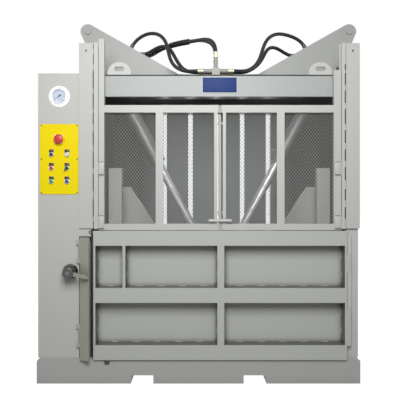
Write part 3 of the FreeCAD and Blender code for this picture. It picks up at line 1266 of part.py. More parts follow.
TEE_LEVEL = BEAM_TOP + TEE_RISE
TEE_STUB_TOP = TEE_LEVEL + TEE_STUB_RISE
BULKHEAD_FACE = CHAMBER_OFFSET - BULKHEAD_HALF_SPAN
BULKHEAD_LEFT = BULKHEAD_FACE - BULKHEAD_WIDTH
BULKHEAD_TOP = crosshead_edge_level(BULKHEAD_FACE)
BULKHEAD_BOTTOM = BULKHEAD_TOP - BULKHEAD_HEIGHT
SIDE_PORT_LEVEL = BULKHEAD_BOTTOM + BULKHEAD_HEIGHT / 2
ARCH_PORT_WAY = Vector(math.cos(math.radians(ARCH_PORT_ANGLE)), 0, math.sin(math.radians(ARCH_PORT_ANGLE)))
ARCH_PORT_FOOT = Vector(BULKHEAD_LEFT + BULKHEAD_HEIGHT * 0.4, PORT_DEPTHS[0], BULKHEAD_TOP - 4.0)
ARCH_PORT_END = ARCH_PORT_FOOT + ARCH_PORT_WAY * FITTING_LENGTH
ARCH_PORT_LEAD = ARCH_PORT_END + ARCH_PORT_WAY * HOSE_LEAD


def hose_tees():
    tees = []
    for depth, top in ((TEE_DEPTHS[0], TEE_STUB_TOP), (TEE_DEPTHS[1], TEE_STUB_TOP - TEE_STUB_STEP)):
        span = (TEE_X - TEE_HALF_LENGTH, TEE_X + TEE_HALF_LENGTH)
        pieces = [round_x(depth, TEE_LEVEL, FITTING_RADIUS, span)]
        pieces.append(round_z(TEE_X, depth, FITTING_RADIUS, (TEE_LEVEL, top)))
        middle = (TEE_X - 24.0, TEE_X + 24.0)
        reach = FITTING_RADIUS + 4.0
        pieces.append(block(middle, (depth - reach, depth + reach), (BEAM_TOP, TEE_LEVEL + reach)))
        tees.append(joined(pieces))
    return loose(tees)


def bulkhead(side_depths):
    """Make the left ported block between the crosshead plates, with its hose fittings."""
    # the lower outer corner is bevelled away where the barrel passes with the platen up
    corners = [
        (BULKHEAD_LEFT, BULKHEAD_TOP),
        (BULKHEAD_FACE, BULKHEAD_TOP),
        (BULKHEAD_FACE, BULKHEAD_BOTTOM),
        (BULKHEAD_LEFT + BULKHEAD_BEVEL, BULKHEAD_BOTTOM),
    ]
    pieces = [plate(corners, (CROSSHEAD_FRONT_INNER, CROSSHEAD_REAR_INNER))]
    side_span = (BULKHEAD_FACE, BULKHEAD_FACE + FITTING_LENGTH)
    for depth in side_depths:
        pieces.append(round_x(depth, SIDE_PORT_LEVEL, FITTING_RADIUS, side_span))
    foot = at(ARCH_PORT_FOOT.x, ARCH_PORT_FOOT.y, ARCH_PORT_FOOT.z)
    pieces.append(Part.makeCylinder(FITTING_RADIUS, FITTING_LENGTH, foot, ARCH_PORT_WAY))
    return joined(pieces)


def hose_bulkheads():
    return loose([bulkhead(PORT_DEPTHS), mirrored(bulkhead(PORT_DEPTHS[1:2]))])


def hose(name, route):
    """Make a hose along a route of (x, depth, z) points: straight runs joined by tangent arcs."""
    points = [at(x, depth, z) for x, depth, z in route]
    edges = []
    start = points[0]
    radii = []
    for before, corner, after in zip(points, points[1:], points[2:]):
        run_in = corner.sub(before)
        run_out = after.sub(corner)
        shorter = min(run_in.Length, run_out.Length)
        turn = run_in.getAngle(run_out)
        radius = HOSE_BEND_SHARE * shorter / math.tan(turn / 2)
        reach = HOSE_BEND_SHARE * shorter
        way_in = Vector(run_in).normalize()
        way_out = Vector(run_out).normalize()
        arc_start = corner.sub(way_in * reach)
        arc_end = corner.add(way_out * reach)
        inward = Vector(way_out.sub(way_in)).normalize()
        arc_middle = corner.add(inward * (math.hypot(radius, reach) - radius))
        edges.append(Part.LineSegment(start, arc_start).toShape())
        edges.append(Part.Arc(arc_start, arc_middle, arc_end).toShape())
        start = arc_end
        radii.append(round(radius))
    edges.append(Part.LineSegment(start, points[-1]).toShape())
    path = Part.Wire(edges)
    section = Part.Wire([Part.makeCircle(HOSE_RADIUS, points[0], points[1].sub(points[0]))])
    tube = path.makePipeShell([section], True, False)
    volume = math.pi * HOSE_RADIUS**2 * path.Length
    print(name, "length", round(path.Length), "radii", radii, "volume ratio", round(tube.Volume / volume, 4))
    return tube


def hose_route(start, start_lead, drawn, end_lead, end):
    """Fit a drawn run between a hose's two leads: each point takes its share of how far the leads moved."""
    last = len(drawn) - 1
    route = [start]
    for number, point in enumerate(drawn):
        share = number / last
        moves = [
            (near - first) * (1 - share) + (far - final) * share
            for near, first, far, final in zip(start_lead, drawn[0], end_lead, drawn[last])
        ]
        route.append(tuple(value + move for value, move in zip(point, moves)))
    return route + [end]


LEFT_SIDE_PORT = BULKHEAD_FACE + FITTING_LENGTH
RIGHT_SIDE_PORT = 2 * CHAMBER_OFFSET - LEFT_SIDE_PORT
RIGHT_ARCH_END = 2 * CHAMBER_OFFSET - ARCH_PORT_END.x
RIGHT_ARCH_LEAD = 2 * CHAMBER_OFFSET - ARCH_PORT_LEAD.x
TEE_LEFT = TEE_X - TEE_HALF_LENGTH
TEE_RIGHT = TEE_X + TEE_HALF_LENGTH
SECOND_STUB_TOP = TEE_STUB_TOP - TEE_STUB_STEP

HOSE_ROUTES = {
    "left_arch_hose": hose_route(
        (ARCH_PORT_END.x, PORT_DEPTHS[0], ARCH_PORT_END.z),
        (ARCH_PORT_LEAD.x, PORT_DEPTHS[0], ARCH_PORT_LEAD.z),
        [
            (-436.4, 410, 2141.4),
            (-412, 407, 2170),
            (-377, 400, 2194),
            (-336, 389, 2208),
            (-292, 373, 2207),
            (-252, 352, 2188),
            (-222, 328, 2152),
            (-204, 300, 2106),
            (-194, 270, 2056),
            (-182, 240, 2008),
            (-164, 210, 1968),
            (-138, 180, 1938),
            (-106, 148, 1916),
            (-74, 118, 1903),
            (-44, 94, 1897.5),
            (-12, 78, 1896),
        ],
        (TEE_LEFT - TEE_LEAD, TEE_DEPTHS[0], TEE_LEVEL),
        (TEE_LEFT, TEE_DEPTHS[0], TEE_LEVEL),
    ),
    "left_low_hose": hose_route(
        (LEFT_SIDE_PORT, PORT_DEPTHS[0], SIDE_PORT_LEVEL),
        (LEFT_SIDE_PORT + HOSE_LEAD, PORT_DEPTHS[0], SIDE_PORT_LEVEL),
        [
            (-354, 410, 2076.4),
            (-318, 402, 2092),
            (-282, 388, 2110),
            (-246, 370, 2119),
            (-212, 346, 2112),
            (-184, 316, 2086),
            (-163, 282, 2046),
            (-140, 244, 1998),
            (-114, 208, 1953),
            (-86, 172, 1921),
            (-50, 140, 1903),
            (-12, 120, 1896),
        ],
        (TEE_LEFT - TEE_LEAD, TEE_DEPTHS[1], TEE_LEVEL),
        (TEE_LEFT, TEE_DEPTHS[1], TEE_LEVEL),
    ),
    "supply_hose_one": hose_route(
        (LEFT_SIDE_PORT, PORT_DEPTHS[1], SIDE_PORT_LEVEL),
        (LEFT_SIDE_PORT + HOSE_LEAD, PORT_DEPTHS[1], SIDE_PORT_LEVEL),
        [
            (-354, 450, 2076.4),
            (-314, 444, 2086),
            (-270, 428, 2103),
            (-222, 400, 2117),
            (-170, 362, 2125),
            (-114, 316, 2126),
            (-56, 266, 2123),
            (0, 216, 2121),
            (44, 172, 2116),
            (78, 132, 2098),
            (98, 98, 2064),
            (106, 78, 2020),
        ],
        (TEE_X, TEE_DEPTHS[0], TEE_STUB_TOP + TEE_LEAD),
        (TEE_X, TEE_DEPTHS[0], TEE_STUB_TOP),
    ),
    "supply_hose_two": hose_route(
        (LEFT_SIDE_PORT, PORT_DEPTHS[2], SIDE_PORT_LEVEL),
        (LEFT_SIDE_PORT + HOSE_LEAD, PORT_DEPTHS[2], SIDE_PORT_LEVEL),
        [
            (-354, 490, 2076.4),
            (-314, 484, 2089),
            (-272, 466, 2110),
            (-224, 434, 2128),
            (-170, 392, 2137),
            (-112, 344, 2138),
            (-54, 294, 2134),
            (2, 246, 2128),
            (50, 204, 2113),
            (84, 168, 2086),
            (102, 140, 2046),
            (106, 120, 1998),
        ],
        (TEE_X, TEE_DEPTHS[1], SECOND_STUB_TOP + TEE_LEAD),
        (TEE_X, TEE_DEPTHS[1], SECOND_STUB_TOP),
    ),
    "right_arch_hose": hose_route(
        (RIGHT_ARCH_END, PORT_DEPTHS[0], ARCH_PORT_END.z),
        (RIGHT_ARCH_LEAD, PORT_DEPTHS[0], ARCH_PORT_LEAD.z),
        [
            (696.4, 410, 2141.4),
            (672, 407, 2166),
            (636, 400, 2185),
            (594, 390, 2197),
            (550, 376, 2203),
            (507, 357, 2197),
            (468, 334, 2175),
            (438, 308, 2138),
            (418, 280, 2092),
            (403, 250, 2044),
            (386, 220, 1998),
            (362, 190, 1958),
            (332, 160, 1928),
            (298, 130, 1908),
            (262, 100, 1898.5),
            (224, 78, 1896),
        ],
        (TEE_RIGHT + TEE_LEAD, TEE_DEPTHS[0], TEE_LEVEL),
        (TEE_RIGHT, TEE_DEPTHS[0], TEE_LEVEL),
    ),
    "right_low_hose": hose_route(
        (RIGHT_SIDE_PORT, PORT_DEPTHS[1], SIDE_PORT_LEVEL),
        (RIGHT_SIDE_PORT - HOSE_LEAD, PORT_DEPTHS[1], SIDE_PORT_LEVEL),
        [
            (614, 450, 2076.4),
            (578, 442, 2092),
            (542, 426, 2110),
            (506, 404, 2120),
            (472, 376, 2113),
            (446, 344, 2087),
            (426, 308, 2048),
            (404, 272, 2004),
            (372, 236, 1962),
            (334, 200, 1930),
            (298, 168, 1910),
            (260, 138, 1899),
            (224, 120, 1896),
        ],
        (TEE_RIGHT + TEE_LEAD, TEE_DEPTHS[1], TEE_LEVEL),
        (TEE_RIGHT, TEE_DEPTHS[1], TEE_LEVEL),
    ),
}

# ---------------------------------------------------------------- the parts

PARTS = {
    "base_frame": base_frame,
    "chamber_floor": chamber_floor,
    "left_side_frame": left_side_frame,
    "right_side_frame": right_side_frame,
    "rear_wall": rear_wall,
    "front_top_beam": front_top_beam,
    "rear_top_beam": rear_top_beam,
    "front_crosshead_plate": front_crosshead_plate,
    "rear_crosshead_plate": rear_crosshead_plate,
    "cylinder_pins": cylinder_pins,
    "lifting_lugs": lifting_lugs,
    "left_barrel": lambda: barrel(0),
    "right_barrel": lambda: barrel(1),
    "left_rod": lambda: rod(0),
    "right_rod": lambda: rod(1),
    "platen": platen,
    "rod_bracket": rod_bracket,
    "platen_masts": platen_masts,
    "gate_frame": gate_frame,
    "gate_mesh": gate_mesh,
    "gate_shoes": gate_shoes,
    "gate_latch": gate_latch,
    "gate_guides": gate_guides,
    "counterweight_boxes": counterweight_boxes,
    "left_pulley": lambda: pulley(0),
    "right_pulley": lambda: pulley(1),
    "left_counterweight": lambda: counterweight(0),
    "right_counterweight": lambda: counterweight(1),
    "chamber_door": chamber_door,
    "hinge_pins": hinge_pins,
    "door_rest": door_rest,
    "lock_bar": lock_bar,
    "lock_hub": lock_hub,
    "lock_lever": lock_lever,
    "cabinet_shell": cabinet_shell,
    "cabinet_side_cover": cabinet_side_cover,
    "oil_tank": oil_tank,
    "electric_motor": electric_motor,
    "gear_pump": gear_pump,
    "valve_block": valve_block,
    "electrical_panel": electrical_panel,
    "control_plate": control_plate,
    "control_bezels": control_bezels,
    "stop_button": stop_button,
    "black_button": lambda: push_button(0, BUTTON_PROUD),
    "signal_lamp": lambda: push_button(1, BUTTON_PROUD - 2.0),
    "red_button": lambda: push_button(2, BUTTON_PROUD),
    "selector_knob": selector_knob,
    "green_button": lambda: push_button(4, BUTTON_PROUD),
    "blue_button": lambda: push_button(5, BUTTON_PROUD),
    "gauge_body": gauge_body,
    "gauge_needle": gauge_needle,
    "hose_tees": hose_tees,
    "hose_bulkheads": hose_bulkheads,
}

os.makedirs("parts", exist_ok=True)

for name, make in PARTS.items():
    make().exportStep("parts/" + name + ".step")

for name, route in HOSE_ROUTES.items():
    hose(name, route).exportStep("parts/" + name + ".step")
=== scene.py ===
# %% [markdown]
# # A recycling baler, dressed around its CAD frame
# The baler presses cardboard and film into bales. Its solids come from the CAD pack, and this file adds
# what a solid does not say: the paint, the chrome, the rubber, the fine net of the gate, the weld beads,
# the screws and the dials. Everything is in metres, X to the right, Y into the chamber and Z up, so a new
# piece goes where the CAD says.

# %% Load the frame
import math

import bmesh
import bpy
from mathutils import Matrix, Vector


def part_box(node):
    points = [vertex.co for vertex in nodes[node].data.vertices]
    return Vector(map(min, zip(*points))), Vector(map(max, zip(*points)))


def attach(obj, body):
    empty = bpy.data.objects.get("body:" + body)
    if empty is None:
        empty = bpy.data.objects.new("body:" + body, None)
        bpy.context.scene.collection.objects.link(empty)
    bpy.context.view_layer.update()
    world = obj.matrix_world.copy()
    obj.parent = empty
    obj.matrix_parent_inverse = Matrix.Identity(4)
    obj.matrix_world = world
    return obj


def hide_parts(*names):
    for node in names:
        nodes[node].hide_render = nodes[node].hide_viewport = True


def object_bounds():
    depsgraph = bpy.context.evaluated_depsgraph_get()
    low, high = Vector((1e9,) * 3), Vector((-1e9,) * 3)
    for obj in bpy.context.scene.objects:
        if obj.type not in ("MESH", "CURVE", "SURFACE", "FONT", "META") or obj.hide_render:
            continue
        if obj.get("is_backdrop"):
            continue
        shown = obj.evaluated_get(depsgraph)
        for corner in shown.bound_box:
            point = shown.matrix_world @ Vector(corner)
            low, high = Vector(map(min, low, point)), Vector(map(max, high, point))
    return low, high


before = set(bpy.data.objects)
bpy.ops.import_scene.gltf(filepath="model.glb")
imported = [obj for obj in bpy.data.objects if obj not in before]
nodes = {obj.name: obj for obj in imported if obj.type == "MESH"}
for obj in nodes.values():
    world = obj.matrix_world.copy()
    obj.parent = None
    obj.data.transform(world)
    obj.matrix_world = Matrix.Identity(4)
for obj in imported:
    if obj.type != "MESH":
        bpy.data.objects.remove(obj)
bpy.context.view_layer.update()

# %% [markdown]
# ## The camera
# The photograph looks straight at the front, level, from about half the baler's height. A camera needs only
# a place, a turn of 90 degrees about X to look along +Y, and a lens. Six millimetres of the front plane
# fall on one pixel of a 400 pixel picture, which a 55.5 mm lens gives from 3.7 m away.

# %% Camera
CAMERA_PLACE = (0.009, -4.194, 1.106)
LENS = 55.5

camera_data = bpy.data.cameras.new("camera")
camera_data.lens = LENS
camera_data.sensor_width = 36.0
camera = bpy.data.objects.new("camera", camera_data)
camera.location = CAMERA_PLACE
camera.rotation_euler = (math.radians(90), 0, 0)
bpy.context.scene.collection.objects.link(camera)
bpy.context.scene.camera = camera
print("camera at", CAMERA_PLACE, "with a lens of", LENS, "mm")

# %% [markdown]
# ## Shader maths as plain expressions
# A material's pattern is arithmetic on sockets. Wiring each Math node by hand hides the idea, so a Wire
# wraps one output socket, and adding, multiplying or comparing Wires adds the Math nodes. The reflected
# form of subtracting lets 1 - mask work.

# %% Wire and Finish
class Wire:
    """One output socket of a finish, used as a number in an expression."""

    def __init__(self, finish, socket):
        self.finish = finish
        self.socket = socket

    def math(self, operation, first, second):
        return self.finish.node("ShaderNodeMath", {"operation": operation}, {0: first, 1: second})

    def __add__(self, other):
        return self.math("ADD", self, other)

    def __sub__(self, other):
        return self.math("SUBTRACT", self, other)

    def __rsub__(self, other):
        return self.math("SUBTRACT", other, self)

    def __mul__(self, other):
        return self.math("MULTIPLY", self, other)

    def __gt__(self, other):
        return self.math("GREATER_THAN", self, other)

    def __lt__(self, other):
        return self.math("LESS_THAN", self, other)

    def most(self, other):
        return self.math("MAXIMUM", self, other)

    def size(self):
        return self.math("ABSOLUTE", self, 0.0)


finishes = {}


class Finish:
    """A material made of nodes, with one Principled surface, kept in finishes by its name."""

    def __init__(self, name, surface):
        finishes[name] = self
        self.material = bpy.data.materials.new(name)
        self.material.use_nodes = True
        self.tree = self.material.node_tree
        self.tree.nodes.clear()
        self.surface = self.tree.nodes.new("ShaderNodeBsdfPrincipled")
        output = self.tree.nodes.new("ShaderNodeOutputMaterial")
        self.tree.links.new(self.surface.outputs[0], output.inputs["Surface"])
        self.set(surface)

    def feed(self, socket, value):
        """Links a Wire into a socket, or sets the socket's own value."""
        if isinstance(value, Wire):
            self.tree.links.new(value.socket, socket)
        elif hasattr(value, "__len__") and len(value) == 3 and len(socket.default_value) == 4:
            socket.default_value = (*value, 1.0)
        else:
            socket.default_value = value

    def set(self, surface):
        """Feeds sockets of the Principled surface by name."""
        for name, value in surface.items():
            self.feed(self.surface.inputs[name], value)
        return self

    def node(self, kind, settings=None, inputs=None, output=0):
        """Adds any node: its settings first, then the values or Wires of its sockets."""
        made = self.tree.nodes.new(kind)
        for name, value in (settings or {}).items():
            setattr(made, name, value)
        for name, value in (inputs or {}).items():
            self.feed(made.inputs[name], value)
        return Wire(self, made.outputs[output])

    def place(self):
        """The point of the surface in the object's own metres."""
        return self.node("ShaderNodeTexCoord", output="Object")

    def noise(self, scale, detail, rough=0.5):
        """A cloudy pattern from 0 to 1, with scale clouds in a metre."""
        inputs = {"Vector": self.place(), "Scale": scale, "Detail": detail, "Roughness": rough}
        return self.node("ShaderNodeTexNoise", inputs=inputs)

    def between(self, value, low, high, to_low=0.0, to_high=1.0):
        """Stretches a value from low..high to to_low..to_high and holds it there."""
        inputs = {"Value": value, "From Min": low, "From Max": high, "To Min": to_low, "To Max": to_high}
        return self.node("ShaderNodeMapRange", {"clamp": True}, inputs)

    def mix(self, mask, first, second):
        """A colour that is first where mask is 0 and second where it is 1."""
        settings = {"data_type": "RGBA", "blend_type": "MIX"}
        return self.node("ShaderNodeMix", settings, {0: mask, 6: first, 7: second}, output=2)

    def axis(self, name, where=None):
        """One coordinate of the surface point."""
        return self.node("ShaderNodeSeparateXYZ", inputs={0: where or self.place()}, output=name)

    def bump(self, height, distance, strength, normal=None):
        """Turns a height pattern into a Normal; distance is the relief in metres."""
        inputs = {"Height": height, "Distance": distance, "Strength": strength}
        if normal is not None:
            inputs["Normal"] = normal
        return self.node("ShaderNodeBump", inputs=inputs)

    def round_edges(self, radius):
        """A Normal that turns softly over an edge, as paint over folded sheet does."""
        return self.node("ShaderNodeBevel", {"samples": 4}, {"Radius": radius})

    def edge_mask(self, radius, gain):
        """1 near an edge and 0 on flat sheet, from how far the rounded Normal leaves the true one."""
        flat = self.node("ShaderNodeNewGeometry", output="True Normal")
        rounded = self.round_edges(radius)
        settings = {"operation": "DOT_PRODUCT"}
        facing = self.node("ShaderNodeVectorMath", settings, {0: rounded, 1: flat}, "Value")
        return self.between((1.0 - facing) * gain, 0.0, 1.0)

    def corner_mask(self, distance):
        """1 deep in a corner and 0 in the open."""
        settings = {"samples": 4}
        return 1.0 - self.node("ShaderNodeAmbientOcclusion", settings, {"Distance": distance}, "AO")


print("Wire and Finish are ready")

# %% [markdown]
# ## The six hydraulic hoses
# Each hose is a fixed length of stiff rubber tube that leaves a fitting straight and comes back to another.
# It could be a mesh tube, but a NURBS curve keeps one smooth line through few points, so its thickness and
# its bends stay those of a real hose. The points are the route of the CAD tube, in metres. Order 3 and the
# end points come last.

# %% Hose routes
HOSE_RADIUS = 0.0115
HOSE_ROUTES = {
    "left_arch_hose": [
        (-0.4534, -0.084, 2.112), (-0.4364, -0.084, 2.1414), (-0.412, -0.087, 2.17),
        (-0.377, -0.094, 2.194), (-0.336, -0.105, 2.208), (-0.292, -0.121, 2.207),
        (-0.252, -0.142, 2.188), (-0.222, -0.166, 2.152), (-0.204, -0.194, 2.106),
        (-0.194, -0.224, 2.056), (-0.182, -0.254, 2.008), (-0.164, -0.284, 1.968),
        (-0.138, -0.314, 1.938), (-0.106, -0.346, 1.916), (-0.074, -0.376, 1.903),
        (-0.044, -0.4, 1.8975), (-0.012, -0.416, 1.896), (0.028, -0.416, 1.896),
    ],
    "left_low_hose": [
        (-0.388, -0.084, 2.0765), (-0.354, -0.084, 2.0765), (-0.318, -0.092, 2.0921),
        (-0.282, -0.106, 2.1101), (-0.246, -0.124, 2.1191), (-0.212, -0.148, 2.112),
        (-0.184, -0.178, 2.086), (-0.163, -0.212, 2.046), (-0.14, -0.25, 1.998),
        (-0.114, -0.286, 1.953), (-0.086, -0.322, 1.921), (-0.05, -0.354, 1.903),
        (-0.012, -0.374, 1.896), (0.028, -0.374, 1.896),
    ],
    "supply_hose_one": [
        (-0.388, -0.044, 2.0765), (-0.354, -0.044, 2.0765), (-0.314, -0.05, 2.0861),
        (-0.27, -0.066, 2.1031), (-0.222, -0.094, 2.1171), (-0.17, -0.132, 2.125),
        (-0.114, -0.178, 2.126), (-0.056, -0.228, 2.123), (0.0, -0.278, 2.121),
        (0.044, -0.322, 2.116), (0.078, -0.362, 2.098), (0.098, -0.396, 2.064),
        (0.106, -0.416, 2.02), (0.106, -0.416, 1.98),
    ],
    "supply_hose_two": [
        (-0.388, -0.004, 2.0765), (-0.354, -0.004, 2.0765), (-0.314, -0.01, 2.0891),
        (-0.272, -0.028, 2.1101), (-0.224, -0.06, 2.1281), (-0.17, -0.102, 2.137),
        (-0.112, -0.15, 2.138), (-0.054, -0.2, 2.134), (0.002, -0.248, 2.128),
        (0.05, -0.29, 2.113), (0.084, -0.326, 2.086), (0.102, -0.354, 2.046),
        (0.106, -0.374, 1.998), (0.106, -0.374, 1.958),
    ],
    "right_arch_hose": [
        (0.7134, -0.084, 2.112), (0.6964, -0.084, 2.1414), (0.672, -0.087, 2.166),
        (0.636, -0.094, 2.185), (0.594, -0.104, 2.197), (0.55, -0.118, 2.203),
        (0.507, -0.137, 2.197), (0.468, -0.16, 2.175), (0.438, -0.186, 2.138),
        (0.418, -0.214, 2.092), (0.403, -0.244, 2.044), (0.386, -0.274, 1.998),
        (0.362, -0.304, 1.958), (0.332, -0.334, 1.928), (0.298, -0.364, 1.908),
        (0.262, -0.394, 1.8985), (0.224, -0.416, 1.896), (0.184, -0.416, 1.896),
    ],
    "right_low_hose": [
        (0.648, -0.044, 2.0765), (0.614, -0.044, 2.0765), (0.578, -0.052, 2.0921),
        (0.542, -0.068, 2.1101), (0.506, -0.09, 2.1201), (0.472, -0.118, 2.1131),
        (0.446, -0.15, 2.087), (0.426, -0.186, 2.048), (0.404, -0.222, 2.004),
        (0.372, -0.258, 1.962), (0.334, -0.294, 1.93), (0.298, -0.326, 1.91),
        (0.26, -0.356, 1.899), (0.224, -0.374, 1.896), (0.184, -0.374, 1.896),
    ],
}


# %% Hose curves
def hose_curve(name, points):
    """A NURBS tube along the points."""
    data = bpy.data.curves.new(name, "CURVE")
    data.dimensions = "3D"
    data.bevel_depth = HOSE_RADIUS
    data.bevel_resolution = 5
    data.resolution_u = 12
    data.use_fill_caps = True
    spline = data.splines.new("NURBS")
    spline.points.add(len(points) - 1)
    for target, point in zip(spline.points, points):
        target.co = (*point, 1.0)
    spline.order_u = 3
    spline.use_endpoint_u = True
    spline.use_smooth = True
    hose = bpy.data.objects.new(name, data)
    bpy.context.scene.collection.objects.link(hose)
    return hose


hoses = {name: hose_curve(name + "_tube", points) for name, points in HOSE_ROUTES.items()}
print("hose curves:", sorted(hoses))

# %% [markdown]
# ## Helpers for new pieces
# Every added piece starts as a bmesh shape, is placed in its own mesh, and rides on the CAD body that
# carries it. The helpers below hold the steps that repeat: a block with rounded edges, a shape turned on a
# lathe, and finishing a bmesh into a piece with its material and body.

# %% Pieces from bmesh
def piece(name, bm, finish, body, smooth_angle=30.0):
    """Turns a bmesh into a piece of the object, painted and riding on its body."""
    bmesh.ops.remove_doubles(bm, verts=bm.verts, dist=1e-6)
    bmesh.ops.recalc_face_normals(bm, faces=bm.faces)
    limit = math.radians(smooth_angle)
    for face in bm.faces:
        face.smooth = True
    for edge in bm.edges:
        if len(edge.link_faces) == 2 and edge.calc_face_angle() > limit:
            edge.smooth = False
    mesh = bpy.data.meshes.new(name)
    bm.to_mesh(mesh)
    bm.free()
    mesh.materials.append(finishes[finish].material)
    made = bpy.data.objects.new(name, mesh)
    bpy.context.scene.collection.objects.link(made)
    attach(made, body)
    return made


def block(bm, low, high, rounding=0.0):
    """Adds a block between two corners, with its edges rounded."""
    low, high = Vector(low), Vector(high)
    middle = Matrix.Translation((low + high) / 2)
    size = Matrix.Diagonal((*(high - low), 1.0))
    made = bmesh.ops.create_cube(bm, size=1.0, matrix=middle @ size)["verts"]
    if rounding:
        edges = list({edge for vert in made for edge in vert.link_edges})
        bmesh.ops.bevel(bm, geom=edges, offset=rounding, segments=2, profile=0.5, affect="EDGES", material=-1)


def placed_block(bm, low, high, rounding, matrix):
    """Adds a block, then turns and moves it by a matrix."""
    before = set(bm.verts)
    block(bm, low, high, rounding)
    fresh = [vert for vert in bm.verts if vert not in before]
    bmesh.ops.transform(bm, matrix=matrix, verts=fresh)


def turn_to(direction, base):
    """The matrix that carries a shape made along +Z to a base point and direction."""
    turn = Vector((0, 0, 1)).rotation_difference(Vector(direction).normalized())
    return Matrix.Translation(base) @ turn.to_matrix().to_4x4()


def turned(bm, profile, base, direction, steps):
    """Adds a lathe shape: profile is (radius, height) points along direction from base."""
    verts = [bm.verts.new((radius, 0.0, height)) for radius, height in profile]
    edges = [bm.edges.new(pair) for pair in zip(verts, verts[1:])]
    before = set(bm.verts) - set(verts)
    bmesh.ops.spin(
        bm, geom=verts + edges, cent=(0, 0, 0), axis=(0, 0, 1), angle=math.tau, steps=steps, use_merge=True
    )
    made = [vert for vert in bm.verts if vert not in before]
    bmesh.ops.transform(bm, matrix=turn_to(direction, base), verts=made)


TO_FRONT = (0, -1, 0)


def block_piece(name, low, high, rounding, finish):
    """One rounded block as a piece on the frame."""
    bm = bmesh.new()
    block(bm, low, high, rounding)
    piece(name, bm, finish, "frame")


def turned_piece(name, profile, base, steps, finish, smooth_angle=30.0):
    """One lathe shape that faces the front, as a piece on the frame."""
    bm = bmesh.new()
    turned(bm, profile, base, TO_FRONT, steps)
    piece(name, bm, finish, "frame", smooth_angle)


print("helpers for pieces are ready")

# %% [markdown]
# ## Machine paint
# Nearly every plate is powder coated in one light grey. Real powder coat is never one flat number: it is a
# little uneven in colour, it has the skin of an orange at half a millimetre, it turns softly over a folded
# edge, and dirt stays in the corners. Noise gives the first two and a Bevel node the third. An Ambient
# Occlusion node darkens the corners with dirt and painted shade in one, and the Bevel node lightens every
# edge a little, a painted highlight. Where a part of a plate lies in shade, a mask compares the place of
# the surface with the edges of the chamber, the door's cells and the lock, and paints a darker tone there,
# a painted shade. Painting by hand would need a picture.

# %% Masks for painted shade
CHAMBER_MIDDLE = 0.130
CHAMBER_HALF_WIDTH = 0.7625
FRAME_FRONT = -0.3815
REAR_WALL_BACK = 0.386
BEAM_TOP = 1.862


def chamber_shade(paint):
    """1 on the faces that look into the press chamber, which get a near black painted shade."""
    place = paint.place()
    across = (paint.axis("X", place) - CHAMBER_MIDDLE).size() < CHAMBER_HALF_WIDTH
    deep = paint.axis("Y", place)
    return across * (deep > FRAME_FRONT) * (deep < REAR_WALL_BACK) * (paint.axis("Z", place) < BEAM_TOP)


CELLS_HALF_WIDTH = 0.752
CELLS_MIDDLE = 0.5325
CELLS_HALF_HEIGHT = 0.31


def door_recess_shade(paint):
    """1 on the narrow faces inside the door's cells, which never see the light: a dark painted shade."""
    place = paint.place()
    facing = paint.axis("Y", paint.node("ShaderNodeTexCoord", output="Normal")).size() < 0.5
    across = (paint.axis("X", place) - CHAMBER_MIDDLE).size() < CELLS_HALF_WIDTH
    return facing * across * ((paint.axis("Z", place) - CELLS_MIDDLE).size() < CELLS_HALF_HEIGHT)


def before_wall(paint):
    """1 on the chamber's side of the rear wall and on the chamber's floor, which get a darker painted shade.
    """
    return paint.axis("Y") < REAR_WALL_BACK


UNSHADED_HALF_WIDTH = 0.42
SHADED_HALF_WIDTH = 0.56


def wall_end_shade(paint):
    """Grows to 1 towards the ends of the chamber, where the wall gets a deeper painted shade."""
    off_middle = (paint.axis("X") - CHAMBER_MIDDLE).size()
    return paint.between(off_middle, UNSHADED_HALF_WIDTH, SHADED_HALF_WIDTH) * before_wall(paint)


CORNER_SHADE_REACH = 0.026
CELLS_BACK = -0.38


def cell_corner_shade(paint):
    """1 along the inside corners of the door's cells, which get a near black painted shade."""
    return paint.between(paint.corner_mask(CORNER_SHADE_REACH), 0.20, 0.36) * (paint.axis("Y") < CELLS_BACK)


LOCK_HINGE_END = -0.6


def beside_lock(paint):
    """1 left of the door, on the hinge of the lock bar, which gets a darker painted shade."""
    return paint.axis("X") < LOCK_HINGE_END


print("masks for dark places are ready")

# %% Machine paint
# Near black for the deepest painted shade, and a light tone for the painted highlight on edges.
DEEP_SHADE_TONE = (0.030, 0.033, 0.026)
EDGE_HIGHLIGHT_TONE = (0.78, 0.79, 0.77)
CLOUD_SCALE = 1.7
PATCH_SCALE = 9.0
PEEL_SCALE = 260.0
PEEL_RELIEF = 0.00006
CORNER_REACH = 0.05
EDGE_RADIUS = 0.0018
FOLD_RADIUS = 0.0016


def painted(name, colour, dirt_and_shade, roughness, shade=None, shade_colour=None, deep_shade=None):
    """A powder coat with corner dirt and painted shade, masked painted shade and painted edge highlights."""
    paint = Finish(name, {"Metallic": 0.0})
    cloud = paint.noise(CLOUD_SCALE, 4.0)
    speck = paint.noise(PEEL_SCALE, 2.0)
    tone = paint.mix(cloud * 0.10, colour, tuple(0.86 * part for part in colour))
    if shade:
        tone = paint.mix(shade(paint), tone, shade_colour)
    # The corners take dirt and painted shade together, from the Ambient Occlusion node.
    corners = paint.corner_mask(CORNER_REACH)
    patches = paint.between(paint.noise(PATCH_SCALE, 5.0, 0.62), 0.25, 0.75, 0.25, 0.75)
    tone = paint.mix(corners * patches, tone, dirt_and_shade)
    # A second mask adds a near black painted shade deep in the chamber and in the door's corners.
    if deep_shade:
        tone = paint.mix(deep_shade(paint) * 0.80, tone, DEEP_SHADE_TONE)
    # A lighter tone along every edge is a painted highlight.
    tone = paint.mix(paint.edge_mask(EDGE_RADIUS, 1.2) * 0.12, tone, EDGE_HIGHLIGHT_TONE)
    skin = paint.bump(speck, PEEL_RELIEF, 0.35, paint.round_edges(FOLD_RADIUS))
    return paint.set({"Base Color": tone, "Roughness": cloud * 0.10 + (roughness - 0.05), "Normal": skin})


